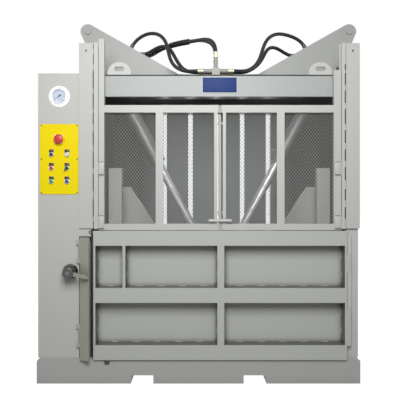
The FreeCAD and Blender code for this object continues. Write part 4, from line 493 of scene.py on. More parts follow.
LIGHT_GREY = (0.56, 0.57, 0.54)
# Dirt and painted shade for the corners.
PLAIN_DIRT_AND_SHADE = (0.36, 0.36, 0.33)
# Near black, the painted shade inside the chamber.
CHAMBER_SHADE_TONE = (0.030, 0.032, 0.030)
painted("machine_paint", LIGHT_GREY, PLAIN_DIRT_AND_SHADE, 0.42)
# A darker grey for inner parts, partly scuffed wear and partly a painted shade of the dim chamber.
painted("inner_paint", (0.30, 0.32, 0.33), (0.16, 0.16, 0.15), 0.55)
# The chamber's side of the rear wall and its floor are darker and bluer, a painted shade, and near black
# towards the ends of the chamber, a deeper painted shade.
painted(
    "chamber_paint", LIGHT_GREY, (0.30, 0.30, 0.28), 0.48, before_wall, (0.35, 0.375, 0.385), wall_end_shade
)
# The frame, the crosshead and the beams get a near black painted shade on their faces inside the chamber.
painted("frame_paint", LIGHT_GREY, PLAIN_DIRT_AND_SHADE, 0.42, chamber_shade, CHAMBER_SHADE_TONE)
# The crosshead plates and pins are darker all over, a painted shade for plates set back behind the guides.
painted("crosshead_paint", (0.41, 0.42, 0.405), (0.27, 0.27, 0.26), 0.42, chamber_shade, CHAMBER_SHADE_TONE)
# The door is a little darker all over, a painted shade against the key lamp. The side faces of its cells get
# a dark painted shade and their inside corners a near black one.
painted(
    "door_paint", (0.52, 0.535, 0.505), (0.22, 0.22, 0.20), 0.42, door_recess_shade, (0.115, 0.12, 0.10), cell_corner_shade
)
# The hinge beside the lock bar is a little darker, a painted shade.
painted("pin_paint", LIGHT_GREY, PLAIN_DIRT_AND_SHADE, 0.42, beside_lock, (0.43, 0.44, 0.41))
# The base is darker, a painted shade at the foot.
painted("base_paint", (0.46, 0.47, 0.45), (0.28, 0.28, 0.26), 0.45)
# The barrels are darker, a painted shade of the dim chamber.
painted("barrel_paint", (0.32, 0.33, 0.32), (0.06, 0.06, 0.06), 0.46).set({"Metallic": 0.7})
# The masts and the rod bracket are lighter, painted light for the dim chamber.
painted("mast_paint", (0.62, 0.63, 0.60), (0.28, 0.28, 0.26), 0.45)
painted("net_paint", (0.41, 0.42, 0.40), (0.27, 0.27, 0.26), 0.45)
# The beams are darker all over, a painted shade that tones down the key lamp in the middle.
painted("beam_paint", (0.41, 0.43, 0.425), (0.25, 0.25, 0.24), 0.42, chamber_shade, CHAMBER_SHADE_TONE)
# The lock bar is a dark olive, a painted shade of a bar that turns away from the lamps.
painted("lock_paint", (0.30, 0.31, 0.255), (0.14, 0.14, 0.11), 0.45)
painted("yellow_plate", (1.0, 0.80, 0.001), (0.75, 0.55, 0.005), 0.38)
print("paints:", sorted(finishes))


# %% [markdown]
# ## Metals
# The rods are hard chrome, ground and polished until they mirror the room; here they are half metal over a
# near white colour, a painted reflection that keeps them bright. Pins and screws are plain zinc plated
# steel, duller and a little mottled. The pump is cast, with a sandy skin. One function makes them all from
# one noise, whose scale and depth tell them apart. The lock's hub and the boss round the hand lever's axis
# are near black, a painted reflection of dark surroundings.

# %% Metals
def metal(name, colour, roughness, grain, relief, mottle=0.35):
    """Bare metal whose gloss and skin vary with one noise."""
    made = Finish(name, {"Metallic": 1.0})
    cloud = made.noise(grain, 4.0)
    tone = made.mix(cloud * mottle, colour, tuple(0.72 * part for part in colour))
    skin = made.bump(cloud, relief, 0.4, made.round_edges(0.0008))
    gloss = cloud * (0.46 * mottle) + (roughness - 0.23 * mottle)
    return made.set({"Base Color": tone, "Roughness": gloss, "Normal": skin})


metal("chrome_steel", (0.52, 0.53, 0.54), 0.16, 40.0, 0.00001)
# Half metal over near white: a painted reflection that keeps the rods bright.
metal("rod_chrome", (0.98, 0.98, 0.99), 0.17, 9.0, 0.0, 0.04).set({"Metallic": 0.50})
# Near black chrome on the lock's hub: a painted reflection of dark surroundings.
metal("dark_chrome", (0.17, 0.17, 0.165), 0.11, 40.0, 0.00001)
metal("gauge_silver", (0.86, 0.86, 0.86), 0.30, 40.0, 0.00001)
lever = metal("lever_metal", (0.26, 0.26, 0.22), 0.26, 40.0, 0.00002)
# The boss round the lever's axis is near black, a painted reflection of dark surroundings.
LOCK_AXIS = (-0.772, 0.675)
BOSS_RADIUS = 0.036
lever_place = lever.place()
across = lever.axis("X", lever_place) - LOCK_AXIS[0]
up = lever.axis("Z", lever_place) - LOCK_AXIS[1]
boss = (across * across + up * up) < BOSS_RADIUS * BOSS_RADIUS
lever.set({"Base Color": lever.mix(boss, (0.24, 0.24, 0.20), (0.09, 0.09, 0.085))})
metal("bare_steel", (0.42, 0.42, 0.41), 0.36, 90.0, 0.00004)
metal("cast_metal", (0.34, 0.34, 0.33), 0.52, 420.0, 0.0003)
metal("zinc_yellow", (0.62, 0.57, 0.40), 0.32, 120.0, 0.00004)
metal("dark_bolt", (0.10, 0.10, 0.10), 0.45, 200.0, 0.00005)
print("metals ready")


# %% [markdown]
# ## Rubber and plastics
# Hose covers are matt black rubber with a fine grain. The button caps are moulded plastic, smooth, with a
# faint gloss that a fine noise breaks up. The dull plating of the hose fittings and the dark of open seams
# are made the same way. A lower specular level keeps the rubber and the two flat plates from turning grey
# under the lamps.

# %% Rubber and plastics
def moulded(name, colour, roughness, grain=300.0, relief=0.00003):
    """A moulded plastic or rubber skin."""
    made = Finish(name, {"Metallic": 0.0})
    cloud = made.noise(grain, 3.0)
    tone = made.mix(cloud * 0.25, colour, tuple(0.80 * part for part in colour))
    skin = made.bump(cloud, relief, 0.5)
    return made.set({"Base Color": tone, "Roughness": cloud * 0.12 + (roughness - 0.06), "Normal": skin})


moulded("fitting_steel", (0.34, 0.33, 0.29), 0.40)
moulded("sleeve_black", (0.018, 0.019, 0.024), 0.60, 420.0, 0.0003)
# Near black, for the painted shade in the open guide seams and for the dark joints at the shoes.
moulded("seam_dark", (0.030, 0.032, 0.030), 0.70)
moulded("hose_rubber", (0.022, 0.023, 0.028), 0.48, 700.0, 0.0001)
moulded("black_plastic", (0.018, 0.018, 0.018), 0.35)
moulded("red_plastic", (0.62, 0.035, 0.040), 0.30)
moulded("green_plastic", (0.02, 0.30, 0.07), 0.30)
moulded("blue_plastic", (0.02, 0.10, 0.42), 0.30)
moulded("white_plastic", (0.78, 0.78, 0.74), 0.30)
moulded("name_blue", (0.030, 0.062, 0.22), 0.50)
moulded("dial_white", (0.56, 0.60, 0.70), 0.45)
DULL = {"name_blue": 0.15, "yellow_plate": 0.15, "hose_rubber": 0.25, "sleeve_black": 0.20}
for name, level in DULL.items():
    finishes[name].set({"Specular IOR Level": level})
print("all finishes:", sorted(finishes))

# %% [markdown]
# ## Painting the solids
# Each solid comes with a plain material that is named after its slot. Swapping that for the finish of the
# same name paints everything at once, without picking faces. Some solids then get a finish of their own:
# painted shade makes some darker than the rest, painted light makes the masts lighter, a painted
# reflection sits on the rods, the lock's hub and the lever's boss, and the fittings are duller.

# %% Paint the CAD nodes
for node in nodes.values():
    for holder in node.material_slots:
        holder.material = finishes[holder.material.name.split(".")[0]].material
NODE_FINISHES = {
    "chamber_paint": ("rear_wall", "chamber_floor"),
    "frame_paint": ("left_side_frame", "right_side_frame"),
    "beam_paint": ("front_top_beam", "rear_top_beam"),
    "crosshead_paint": ("front_crosshead_plate", "rear_crosshead_plate", "cylinder_pins"),
    "door_paint": ("chamber_door",),
    "base_paint": ("base_frame",),
    "barrel_paint": ("left_barrel", "right_barrel"),
    "mast_paint": ("platen_masts", "rod_bracket"),
    "lock_paint": ("lock_bar",),
    "pin_paint": ("hinge_pins",),
    "rod_chrome": ("left_rod", "right_rod"),
    "dark_chrome": ("lock_hub",),
    "lever_metal": ("lock_lever",),
    "gauge_silver": ("gauge_body",),
    "fitting_steel": ("hose_tees", "hose_bulkheads"),
}
for finish, names in NODE_FINISHES.items():
    for name in names:
        for holder in nodes[name].material_slots:
            holder.material = finishes[finish].material
for hose in hoses.values():
    hose.data.materials.append(finishes["hose_rubber"].material)
print("painted", len(nodes), "CAD nodes and", len(hoses), "hoses")

# %% [markdown]
# ## Hoses ride on the frame, in crimped ferrules
# A hydraulic hose is held in a steel ferrule that is pressed round it, with a nut that turns on the
# fitting. The hose never takes a bend inside the first few centimetres, so the ferrules sit on the straight
# ends of the route.

# %% Ferrules
FERRULE_LENGTH = 0.033
FERRULE = (
    (HOSE_RADIUS, 0.0), (0.0150, 0.0), (0.0150, 0.010), (0.0120, 0.011), (0.0120, 0.013),
    (0.0136, 0.014), (0.0136, 0.018), (0.0128, 0.019), (0.0136, 0.020), (0.0136, 0.025),
    (0.0128, 0.026), (0.0134, 0.027), (0.0134, 0.031), (0.0110, FERRULE_LENGTH),
    (HOSE_RADIUS, FERRULE_LENGTH), (HOSE_RADIUS, 0.0),
)


def ferrule(name, end, inner, finish):
    """A crimped ferrule with its nut, from a hose's end towards its next point."""
    bm = bmesh.new()
    turned(bm, FERRULE, end, Vector(inner) - Vector(end), 24)
    return piece(name, bm, finish, "frame")


print("ferrule outline:", len(FERRULE), "points")

# %% [markdown]
# ## Wound sleeves
# The two supply hoses wear a wound sleeve over a part of their length. It has to follow the hose's own
# smooth line, not the points of the route, so the curve is read as a mesh while its thickness is nothing.
# Rings at even steps along it, wide and narrow by turns, are bridged into the sleeve.

# %% Sleeves
SLEEVE_SPAN = (-0.195, -0.055)
SLEEVE_SWELL = 0.0055
WIND = 0.009


def smooth_line(hose):
    """Points along the middle of a hose, from its own smooth curve."""
    bevel, hose.data.bevel_depth = hose.data.bevel_depth, 0.0
    bpy.context.view_layer.update()
    evaluated = hose.evaluated_get(bpy.context.evaluated_depsgraph_get())
    mesh = bpy.data.meshes.new_from_object(evaluated)
    points = [Vector(vert.co) for vert in mesh.vertices]
    bpy.data.meshes.remove(mesh)
    hose.data.bevel_depth = bevel
    return points


def even_steps(points, step):
    """The same line with points at even steps."""
    even, wait = [points[0]], step
    for near, far in zip(points, points[1:]):
        length, done = (far - near).length, 0.0
        while length - done >= wait:
            done += wait
            even.append(near.lerp(far, done / length))
            wait = step
        wait -= length - done
    return even


def wound_tube(points, radii):
    """A tube whose rings grow and shrink along the points, as a wound sleeve does."""
    bm = bmesh.new()
    rings = []
    for number, (point, radius) in enumerate(zip(points, radii)):
        way = points[min(number + 1, len(points) - 1)] - points[max(number - 1, 0)]
        made = bmesh.ops.create_circle(bm, segments=16, radius=radius, matrix=turn_to(way, point))["verts"]
        rings.append({edge for vert in made for edge in vert.link_edges})
    for near, far in zip(rings, rings[1:]):
        bmesh.ops.bridge_loops(bm, edges=list(near | far))
    return bm


def hose_sleeve(name, hose):
    """A wound sleeve over the part of a hose that lies in the span of X."""
    low, high = SLEEVE_SPAN
    line = even_steps([point for point in smooth_line(hose) if low < point.x < high], WIND / 2)
    swells = (0.6 * SLEEVE_SWELL, SLEEVE_SWELL)
    radii = [HOSE_RADIUS + swells[number % 2] for number in range(len(line))]
    radii[0] = radii[-1] = HOSE_RADIUS - 0.0005
    return piece(name, wound_tube(line, radii), "sleeve_black", "frame", 60.0)


print("sleeve helpers are ready")

# %% Hoses on the frame
for name, hose in hoses.items():
    points = HOSE_ROUTES[name]
    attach(hose, "frame")
    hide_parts(name)
    ferrules = [
        ferrule(name + "_near_ferrule", points[0], points[1], "dark_bolt"),
        ferrule(name + "_far_ferrule", points[-1], points[-2], "zinc_yellow"),
    ]
    if name.startswith("supply"):
        ferrules.append(hose_sleeve(name + "_sleeve", hose))
print("ferrules on", len(hoses), "hoses")

# %% [markdown]
# ## The gate's net
# The gate is filled with expanded metal: sheet that is slit and drawn into diamonds, whose strands lean a
# little. The solid has a coarse net. Here a grid is turned 45 degrees and stretched to diamonds, each cell
# is inset and emptied, and the sheet gets its thickness last. Cutting with bisect_plane keeps whole strands
# right up to the stiles.

# %% Gate net
DIAMOND_WIDTH = 0.018
DIAMOND_HEIGHT = 0.023
STRAND = 0.0022
NET_THICKNESS = 0.0022
STRAND_LEAN = 0.0009
GRID_REACH = 1.6
CUT_MARGIN = 0.02
NET_PANELS = ((-0.567, -0.212), (-0.212, 0.114), (0.146, 0.472), (0.472, 0.8145))
NET_BOTTOM, NET_TOP = 0.963, 1.632
net_low, net_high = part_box("gate_mesh")
net_depth = (net_low.y + net_high.y) / 2


def net_panel(bm, left, right, bottom, top, depth):
    """Adds one panel of diamonds between two stiles and two rails."""
    reach = max(right - left, top - bottom)
    cells = int(GRID_REACH * reach / DIAMOND_WIDTH)
    side = 1.0 / cells
    diagonal = math.sqrt(2) * side
    stretch = Matrix.Diagonal((DIAMOND_WIDTH / diagonal, DIAMOND_HEIGHT / diagonal, 1.0, 1.0))
    middle = Matrix.Translation(((left + right) / 2, depth, (bottom + top) / 2))
    stand = Matrix.Rotation(math.radians(90), 4, "X")
    sheet = bmesh.new()
    bmesh.ops.create_grid(
        sheet, x_segments=cells, y_segments=cells, size=0.5,
        matrix=middle @ stand @ stretch @ Matrix.Rotation(math.radians(45), 4, "Z"),
    )
    cuts = (
        (Vector((left, 0, 0)), Vector((-1, 0, 0))),
        (Vector((right, 0, 0)), Vector((1, 0, 0))),
        (Vector((0, 0, bottom)), Vector((0, 0, -1))),
        (Vector((0, 0, top)), Vector((0, 0, 1))),
    )
    for place, normal in cuts:
        reaches = [(face, (face.calc_center_median() - place).dot(normal)) for face in sheet.faces]
        outside = [face for face, beyond in reaches if beyond > CUT_MARGIN]
        bmesh.ops.delete(sheet, geom=outside, context="FACES")
    cut_faces = list(sheet.faces)
    bmesh.ops.inset_individual(sheet, faces=cut_faces, thickness=STRAND / 2, use_even_offset=True)
    centres = {}
    for face in cut_faces:
        centre = face.calc_center_median()
        for vert in face.verts:
            centres[vert] = centre
    for vert, centre in centres.items():
        if vert.co.z > centre.z + 0.001:
            vert.co.y += STRAND_LEAN
        elif vert.co.z < centre.z - 0.001:
            vert.co.y -= STRAND_LEAN
    bmesh.ops.delete(sheet, geom=cut_faces, context="FACES_ONLY")
    for place, normal in cuts:
        geom = list(sheet.verts) + list(sheet.edges) + list(sheet.faces)
        bmesh.ops.bisect_plane(sheet, geom=geom, dist=1e-6, plane_co=place, plane_no=normal, clear_outer=True)
    bmesh.ops.solidify(sheet, geom=list(sheet.faces), thickness=NET_THICKNESS)
    mesh = bpy.data.meshes.new("panel")
    sheet.to_mesh(mesh)
    sheet.free()
    bm.from_mesh(mesh)
    bpy.data.meshes.remove(mesh)


for number, (left, right) in enumerate(NET_PANELS, 1):
    bm = bmesh.new()
    net_panel(bm, left, right, NET_BOTTOM, NET_TOP, net_depth)
    piece(f"gate_net_{number}", bm, "net_paint", "gate", 25.0)
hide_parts("gate_mesh")

# %% [markdown]
# ## Control plate: legends and screws
# Each button has a small black plate above it, held under the button's ring, and six dark screws hold the
# yellow sheet. They are too small for the solid, so they are thin bevelled blocks and small lathe shapes
# here.

# %% Legends and screws
DOOR_FACE = -0.494
PLATE_FACE = DOOR_FACE + 0.019
PLATE_X = -0.840
BUTTON_X = (PLATE_X - 0.047, PLATE_X + 0.047)
BUTTON_Z = (1.380, 1.2985, 1.217)
SCREW = ((0.0, 0.0026), (0.0011, 0.0026), (0.0012, 0.0018), (0.0024, 0.0026), (0.0040, 0.0016), (0.0046, 0.0))


def screws(name, places, direction, size=1.0):
    """Low round screw heads with a dimple for the key."""
    bm = bmesh.new()
    for place in places:
        turned(bm, [(radius * size, height * size) for radius, height in SCREW], place, direction, 14)
    piece(name, bm, "dark_bolt", "frame")


bm = bmesh.new()
for x in BUTTON_X:
    for z in BUTTON_Z:
        low = (x - 0.015, PLATE_FACE - 0.0011, z + 0.010)
        high = (x + 0.015, PLATE_FACE + 0.0002, z + 0.031)
        block(bm, low, high, 0.0005)
piece("legend_plates", bm, "black_plastic", "frame")
corners = [(PLATE_X + dx, PLATE_FACE, z) for dx in (-0.107, 0.107) for z in (1.150, 1.3525, 1.555)]
screws("control_plate_screws", corners, TO_FRONT)
print("legends:", len(BUTTON_X) * len(BUTTON_Z), "screws:", len(corners))

# %% [markdown]
# ## Emergency stop
# The red stop is a domed cap on a yellow collar. Both are round, so each is turned from half its outline.
# Four short pale bars stand on the collar, each a quarter of a circle from the next, and a low rib crosses
# the cap.

# %% Stop collar and cap
STOP_PLACE = Vector((PLATE_X, PLATE_FACE - 0.009, 1.4725))
MARK_LOW, MARK_HIGH = (0.0300, -0.0018, -0.0050), (0.0344, 0.0002, 0.0050)
bm = bmesh.new()
for number in range(4):
    spin = Matrix.Rotation(math.radians(90 * number + 45), 4, "Y")
    place = Matrix.Translation(STOP_PLACE) @ spin
    placed_block(bm, MARK_LOW, MARK_HIGH, 0.0003, place)
piece("stop_marks", bm, "white_plastic", "frame")
COLLAR_PROFILE = ((0.0190, 0.0), (0.0350, 0.0), (0.0348, 0.0085), (0.0330, 0.0096), (0.0190, 0.0096))
COLLAR_PLACE = (PLATE_X, PLATE_FACE, STOP_PLACE.z)
turned_piece("stop_ring", COLLAR_PROFILE, COLLAR_PLACE, 40, "yellow_plate")
CAP_PROFILE = (
    (0.0, 0.0), (0.0262, 0.0), (0.0280, 0.0025), (0.0284, 0.0060), (0.0270, 0.0105),
    (0.0225, 0.0132), (0.0110, 0.0146), (0.0, 0.0149),
)
RIB_LOW = (PLATE_X - 0.0022, PLATE_FACE - 0.0312, STOP_PLACE.z - 0.012)
RIB_HIGH = (PLATE_X + 0.0022, PLATE_FACE - 0.0295, STOP_PLACE.z + 0.012)
bm = bmesh.new()
turned(bm, CAP_PROFILE, (PLATE_X, PLATE_FACE - 0.0155, STOP_PLACE.z), TO_FRONT, 40)
block(bm, RIB_LOW, RIB_HIGH, 0.0008)
piece("stop_cap", bm, "red_plastic", "stop_button")
print("stop marks, ring and cap made")

# %% [markdown]
# ## Pressure gauge
# A glycerine gauge has a pale dial with fine ticks, a needle and a glass held by a rolled ring. The needle
# and the case are solids already. The dial is a thin disc at the bottom of the case, with a raised tick for
# each step of the scale, and every fifth tick is longer and wider.

# %% Dial and ticks
GAUGE = Vector((PLATE_X, 0.0, 1.730))
DIAL_PLACE = GAUGE + Vector((0, DOOR_FACE + 0.011, 0))
DIAL_PROFILE = ((0.0, 0.0007), (0.0420, 0.0007), (0.0424, 0.0))
turned_piece("gauge_dial", DIAL_PROFILE, DIAL_PLACE, 48, "dial_white")

TICK_COUNT = 31
TICK_OUTER = 0.0375
bm = bmesh.new()
for number in range(TICK_COUNT):
    angle = math.radians(225 - 270 * number / (TICK_COUNT - 1))
    inner, half = (0.0345, 0.0003) if number % 5 else (0.0315, 0.0006)
    place = Matrix.Translation(DIAL_PLACE) @ Matrix.Rotation(-angle, 4, "Y")
    placed_block(bm, (inner, -0.00085, -half), (TICK_OUTER, -0.0006, half), 0.0, place)
piece("gauge_ticks", bm, "black_plastic", "frame")
print("dial made with", TICK_COUNT, "ticks")

# %% [markdown]
# The glass is a slightly domed disc in front of the needle, with a shader that lets light through. A thin
# black blade with a disc at its tail lies on the solid needle and turns with it. Three screws hold the
# flange.

# %% Glass, ring and needle blade
CLEAR = {"Roughness": 0.03, "IOR": 1.45, "Transmission Weight": 1.0, "Base Color": (0.96, 0.98, 1.0)}
glass = Finish("gauge_glass", CLEAR)
smear = glass.noise(60.0, 3.0)
glass.set({"Roughness": smear * 0.006, "Normal": glass.bump(smear, 0.000004, 0.2)})
DOME = ((0.0, 0.0016), (0.0200, 0.0013), (0.0360, 0.0006), (0.0428, 0.0), (0.0428, -0.0012), (0.0, -0.0012))
GLASS_PLACE = GAUGE + Vector((0, DOOR_FACE + 0.0036, 0))
turned_piece("gauge_glass", DOME, GLASS_PLACE, 48, "gauge_glass", 20.0)

FLANGE_RADIUS = 0.0548
flange_screws = [
    GAUGE + Vector((FLANGE_RADIUS * math.cos(angle), DOOR_FACE + 0.018, FLANGE_RADIUS * math.sin(angle)))
    for angle in (math.radians(90), math.radians(210), math.radians(330))
]
screws("gauge_screws", flange_screws, TO_FRONT, 0.8)
RING_PROFILE = ((0.0448, 0.0), (0.0448, 0.0008), (0.0474, 0.0008), (0.0474, 0.0))
RING_PLACE = GAUGE + Vector((0, -0.4918, 0))
turned_piece("gauge_bezel", RING_PROFILE, RING_PLACE, 48, "bare_steel")

NEEDLE_WAY = Vector((-23.4, 0.0, -19.7)).normalized()
NEEDLE_FACE = GAUGE + Vector((0, -0.4876, 0))
needle_turn = Matrix.Rotation(math.atan2(-NEEDLE_WAY.z, NEEDLE_WAY.x), 4, "Y")
bm = bmesh.new()
for near, far, half in ((0.0, 0.031, 0.0012), (-0.013, 0.0, 0.0016)):
    middle = Matrix.Translation(NEEDLE_FACE + NEEDLE_WAY * (near + far) / 2)
    size = Matrix.Diagonal((far - near, 0.0005, 2 * half, 1.0))
    bmesh.ops.create_cube(bm, size=1.0, matrix=middle @ needle_turn @ size)
TAIL_DISC = ((0.0044, 0.0), (0.0044, 0.0007), (0.0, 0.0007))
HUB_DISC = ((0.0030, 0.0), (0.0030, 0.0007), (0.0, 0.0007))
turned(bm, TAIL_DISC, NEEDLE_FACE - NEEDLE_WAY * 0.012, TO_FRONT, 20)
turned(bm, HUB_DISC, NEEDLE_FACE, TO_FRONT, 16)
piece("needle_blade", bm, "black_plastic", "gauge_needle")
print("gauge glass, ring, screws and blade made")

# %% [markdown]
# ## Bare name plate and beam edging
# The beam carries a plain blue plate with a white rim. Along the top front edge of the beam lies a black
# rubber strip, and a second black strip fills the deep gap at the left edge of the chamber door, a painted
# shade of that gap. All four are thin blocks with rounded edges.

# %% Name plate and edging
BEAM_FACE = DOOR_FACE + 0.050
RIM_LOW, RIM_HIGH = (0.021, BEAM_FACE - 0.0012, 1.756), (0.236, BEAM_FACE, 1.855)
BLUE_LOW, BLUE_HIGH = (0.0245, BEAM_FACE - 0.0017, 1.7595), (0.2325, BEAM_FACE - 0.0008, 1.8515)
EDGING_LOW, EDGING_HIGH = (-0.5715, BEAM_FACE - 0.003, 1.8610), (0.822, BEAM_FACE, 1.8675)
GAP_SHADE_LOW, GAP_SHADE_HIGH = (-0.6488, -0.4755, 0.1600), (-0.6358, -0.4718, 0.9300)
block_piece("name_plate_rim", RIM_LOW, RIM_HIGH, 0.0004, "white_plastic")
block_piece("name_plate_face", BLUE_LOW, BLUE_HIGH, 0.0003, "name_blue")
block_piece("beam_edging", EDGING_LOW, EDGING_HIGH, 0.0010, "hose_rubber")
# A black strip in the gap left of the door, a painted shade of that deep gap.
block_piece("door_gap_shade", GAP_SHADE_LOW, GAP_SHADE_HIGH, 0.0012, "hose_rubber")
print("name plate, beam edging and door gap shade made")

# %% [markdown]
# ## Bolts
# The pulley axles come through the front of the weight boxes as hexagon heads, bolts hold the crosshead
# plate, and round screws hold the side cover. A hexagon head is a lathe shape of six steps, with a washer
# turned in more steps behind it. The small eye left of the door is a circle turned round an axis beside it.

# %% Bolt heads
def bolts(name, places, direction, across):
    """Hexagon heads on washers."""
    radius = across / math.sqrt(3)
    washer = ((radius * 1.32, 0.0), (radius * 1.32, 0.0014), (0.0, 0.0014))
    head = ((radius, 0.0012), (radius, across * 0.38), (radius * 0.86, across * 0.45), (0.0, across * 0.45))
    bm = bmesh.new()
    for place in places:
        turned(bm, washer, place, direction, 20)
        turned(bm, head, place, direction, 6)
    piece(name, bm, "dark_bolt", "frame")


AXLE_PLACES = [(x, DOOR_FACE + 0.015, 2.006) for x in (-0.678, 0.930)]
bolts("axle_bolts", AXLE_PLACES, TO_FRONT, 0.0085)
CROSSHEAD_FACE = DOOR_FACE + 0.361
CROSSHEAD_REACH = 0.787
crosshead_bolts = [
    (CHAMBER_MIDDLE + side * CROSSHEAD_REACH, CROSSHEAD_FACE, z) for side in (-1, 1) for z in (1.972, 1.80)
]
bolts("crosshead_bolts", crosshead_bolts, TO_FRONT, 0.017)
COVER_FACE = -0.970
cover_screws = [(COVER_FACE, y, z) for y in (-0.448, 0.142) for z in (0.180, 0.740, 1.300, 1.845)]
cover_screws += [(COVER_FACE, -0.153, 0.180), (COVER_FACE, -0.153, 1.845)]
screws("side_cover_screws", cover_screws, (-1, 0, 0), 1.3)
EYE_RADIUS = 0.0085
WIRE_RADIUS = 0.0025
turns = [math.tau * step / 10 for step in range(11)]
eye = [(EYE_RADIUS + WIRE_RADIUS * math.cos(turn), WIRE_RADIUS * math.sin(turn)) for turn in turns]
EYE_PLACE = (-0.6515, DOOR_FACE + 0.0194, 0.9115)
turned_piece("latch_eye", eye, EYE_PLACE, 24, "dark_bolt")
print("bolts and eye made")

# %% [markdown]
# ## Weld beads
# The frame is welded, and the beads show wherever one plate stands on another. A real bead is a row of
# overlapping drops. A thin bar that swells once every few millimetres, half sunk in the corner, gives that
# ripple and stays light.

# %% Weld beads
RIPPLE = 0.0055


def bead(bm, start, end, size=0.0045):
    """Adds one run of weld from start to end."""
    start, end = Vector(start), Vector(end)
    length = (end - start).length
    count = max(4, round(length / RIPPLE)) * 2
    profile = [(0.0, 0.0)]
    for step in range(count + 1):
        swell = 1.0 if step % 2 else 0.80
        profile.append((size * (0.55 if step in (0, count) else swell), length * step / count))
    profile.append((0.0, length))
    turned(bm, profile, start, end - start, 8)


def stitches(bm, start, end, run, gap):
    """Adds runs of weld with gaps between them."""
    start, end = Vector(start), Vector(end)
    length = (end - start).length
    way = (end - start) / length
    count = max(1, int((length + gap) / (run + gap)))
    spare = (length - count * run - (count - 1) * gap) / 2
    for number in range(count):
        near = start + way * (spare + number * (run + gap))
        bead(bm, near, near + way * run)


CELLS = (
    (-0.619, -0.456, 0.5779, 0.8310), (-0.439, 0.113, 0.5779, 0.8310), (0.155, 0.879, 0.5779, 0.8310),
    (-0.619, 0.113, 0.2348, 0.4879), (0.155, 0.879, 0.2348, 0.4879),
)
CELL_BACK = DOOR_FACE + 0.094
CORNER_SPARE = 0.02
RUN = 0.045
bm = bmesh.new()
for left, right, bottom, top in CELLS:
    for z in (bottom, top):
        stitches(bm, (left + CORNER_SPARE, CELL_BACK, z), (right - CORNER_SPARE, CELL_BACK, z), RUN, 0.085)
    for x in (left, right):
        stitches(bm, (x, CELL_BACK, bottom + CORNER_SPARE), (x, CELL_BACK, top - CORNER_SPARE), RUN, 0.070)
piece("door_welds", bm, "net_paint", "chamber_door", 40.0)
print("door welds:", len(CELLS), "cells")

# %% Frame welds
BASE_TOP = 0.155
SIDE_FRAME_TOP = 1.735
LUG_FOOT = 1.864
LUG_FACE = BEAM_FACE + 0.015
LUG_HALF = 0.0715
LUG_OFFSET = 0.612
SIDE_INNER, SIDE_OUTER = 0.774, 0.834
RAIL_DEPTHS = (0.361, 0.553)
POST_DEPTHS = (0.112, 0.192, 0.806, 0.886)


def cross_bead(bm, left, right, depth, level, size):
    """Adds a level bead from left to right, at a depth behind the door's face."""
    bead(bm, (left, DOOR_FACE + depth, level), (right, DOOR_FACE + depth, level), size)


bm = bmesh.new()
for side in (-1, 1):
    lug = CHAMBER_MIDDLE + side * LUG_OFFSET
    near, far = sorted((CHAMBER_MIDDLE + side * SIDE_INNER, CHAMBER_MIDDLE + side * SIDE_OUTER))
    bead(bm, (lug - LUG_HALF, LUG_FACE, LUG_FOOT), (lug + LUG_HALF, LUG_FACE, LUG_FOOT), 0.005)
    for depth in RAIL_DEPTHS:
        cross_bead(bm, near, far, depth, SIDE_FRAME_TOP, 0.005)
    for depth in POST_DEPTHS:
        cross_bead(bm, near, far, depth, BASE_TOP, 0.0055)
for x in (-0.632, 0.888):
    stitches(bm, (x, DOOR_FACE + 0.148, SIDE_FRAME_TOP), (x, DOOR_FACE + 0.148, LUG_FOOT), 0.04, 0.05)
piece("frame_welds", bm, "machine_paint", "frame", 40.0)
print("frame welds made")

# %% [markdown]
# The channels that guide the gate are stitch welded: short beads join them to the weight boxes, and between
# the beads the seam stays open. Each open seam is a thin near black strip, a painted shade of the gap, and a
# bead fills the gap to the next.

# %% Guide welds and seams
LEFT_SEAMS = (
    (1.010, 1.112), (1.163, 1.262), (1.304, 1.394), (1.436, 1.514), (1.562, 1.628),
    (1.658, 1.742), (1.780, 1.874),
)
RIGHT_SEAMS = (
    (0.992, 1.064), (1.106, 1.172), (1.226, 1.304), (1.340, 1.412), (1.448, 1.526),
    (1.562, 1.652), (1.688, 1.766), (1.796, 1.868), (1.886, 1.922),
)
WELD_DEPTH = DOOR_FACE + 0.0150
BEAD_GAP = 0.002
bm = bmesh.new()
for x, levels in ((-0.6365, LEFT_SEAMS), (0.8885, RIGHT_SEAMS)):
    for (_, seam_top), (next_bottom, _) in zip(levels, levels[1:]):
        bead(bm, (x, WELD_DEPTH, seam_top + BEAD_GAP), (x, WELD_DEPTH, next_bottom - BEAD_GAP), 0.0042)
piece("guide_welds", bm, "machine_paint", "frame", 40.0)

GUIDE_FACE = DOOR_FACE + 0.002
SEAM_HALF = 0.0028
# Thin near black strips, a painted shade in the open seams.
bm = bmesh.new()
for x, levels in ((-0.6315, LEFT_SEAMS), (0.8810, RIGHT_SEAMS)):
    for bottom, top in levels:
        block(bm, (x - SEAM_HALF, GUIDE_FACE - 0.0004, bottom), (x + SEAM_HALF, GUIDE_FACE + 0.0004, top))
piece("guide_seam_shade", bm, "seam_dark", "frame")
print("guide seams:", len(LEFT_SEAMS), "left and", len(RIGHT_SEAMS), "right")

# %% [markdown]
# ## Wear plates on the gate's shoes
# The gate slides on four shoes. Each shows as a thin plate over the guide's lip, with a dark joint at both
# ends.

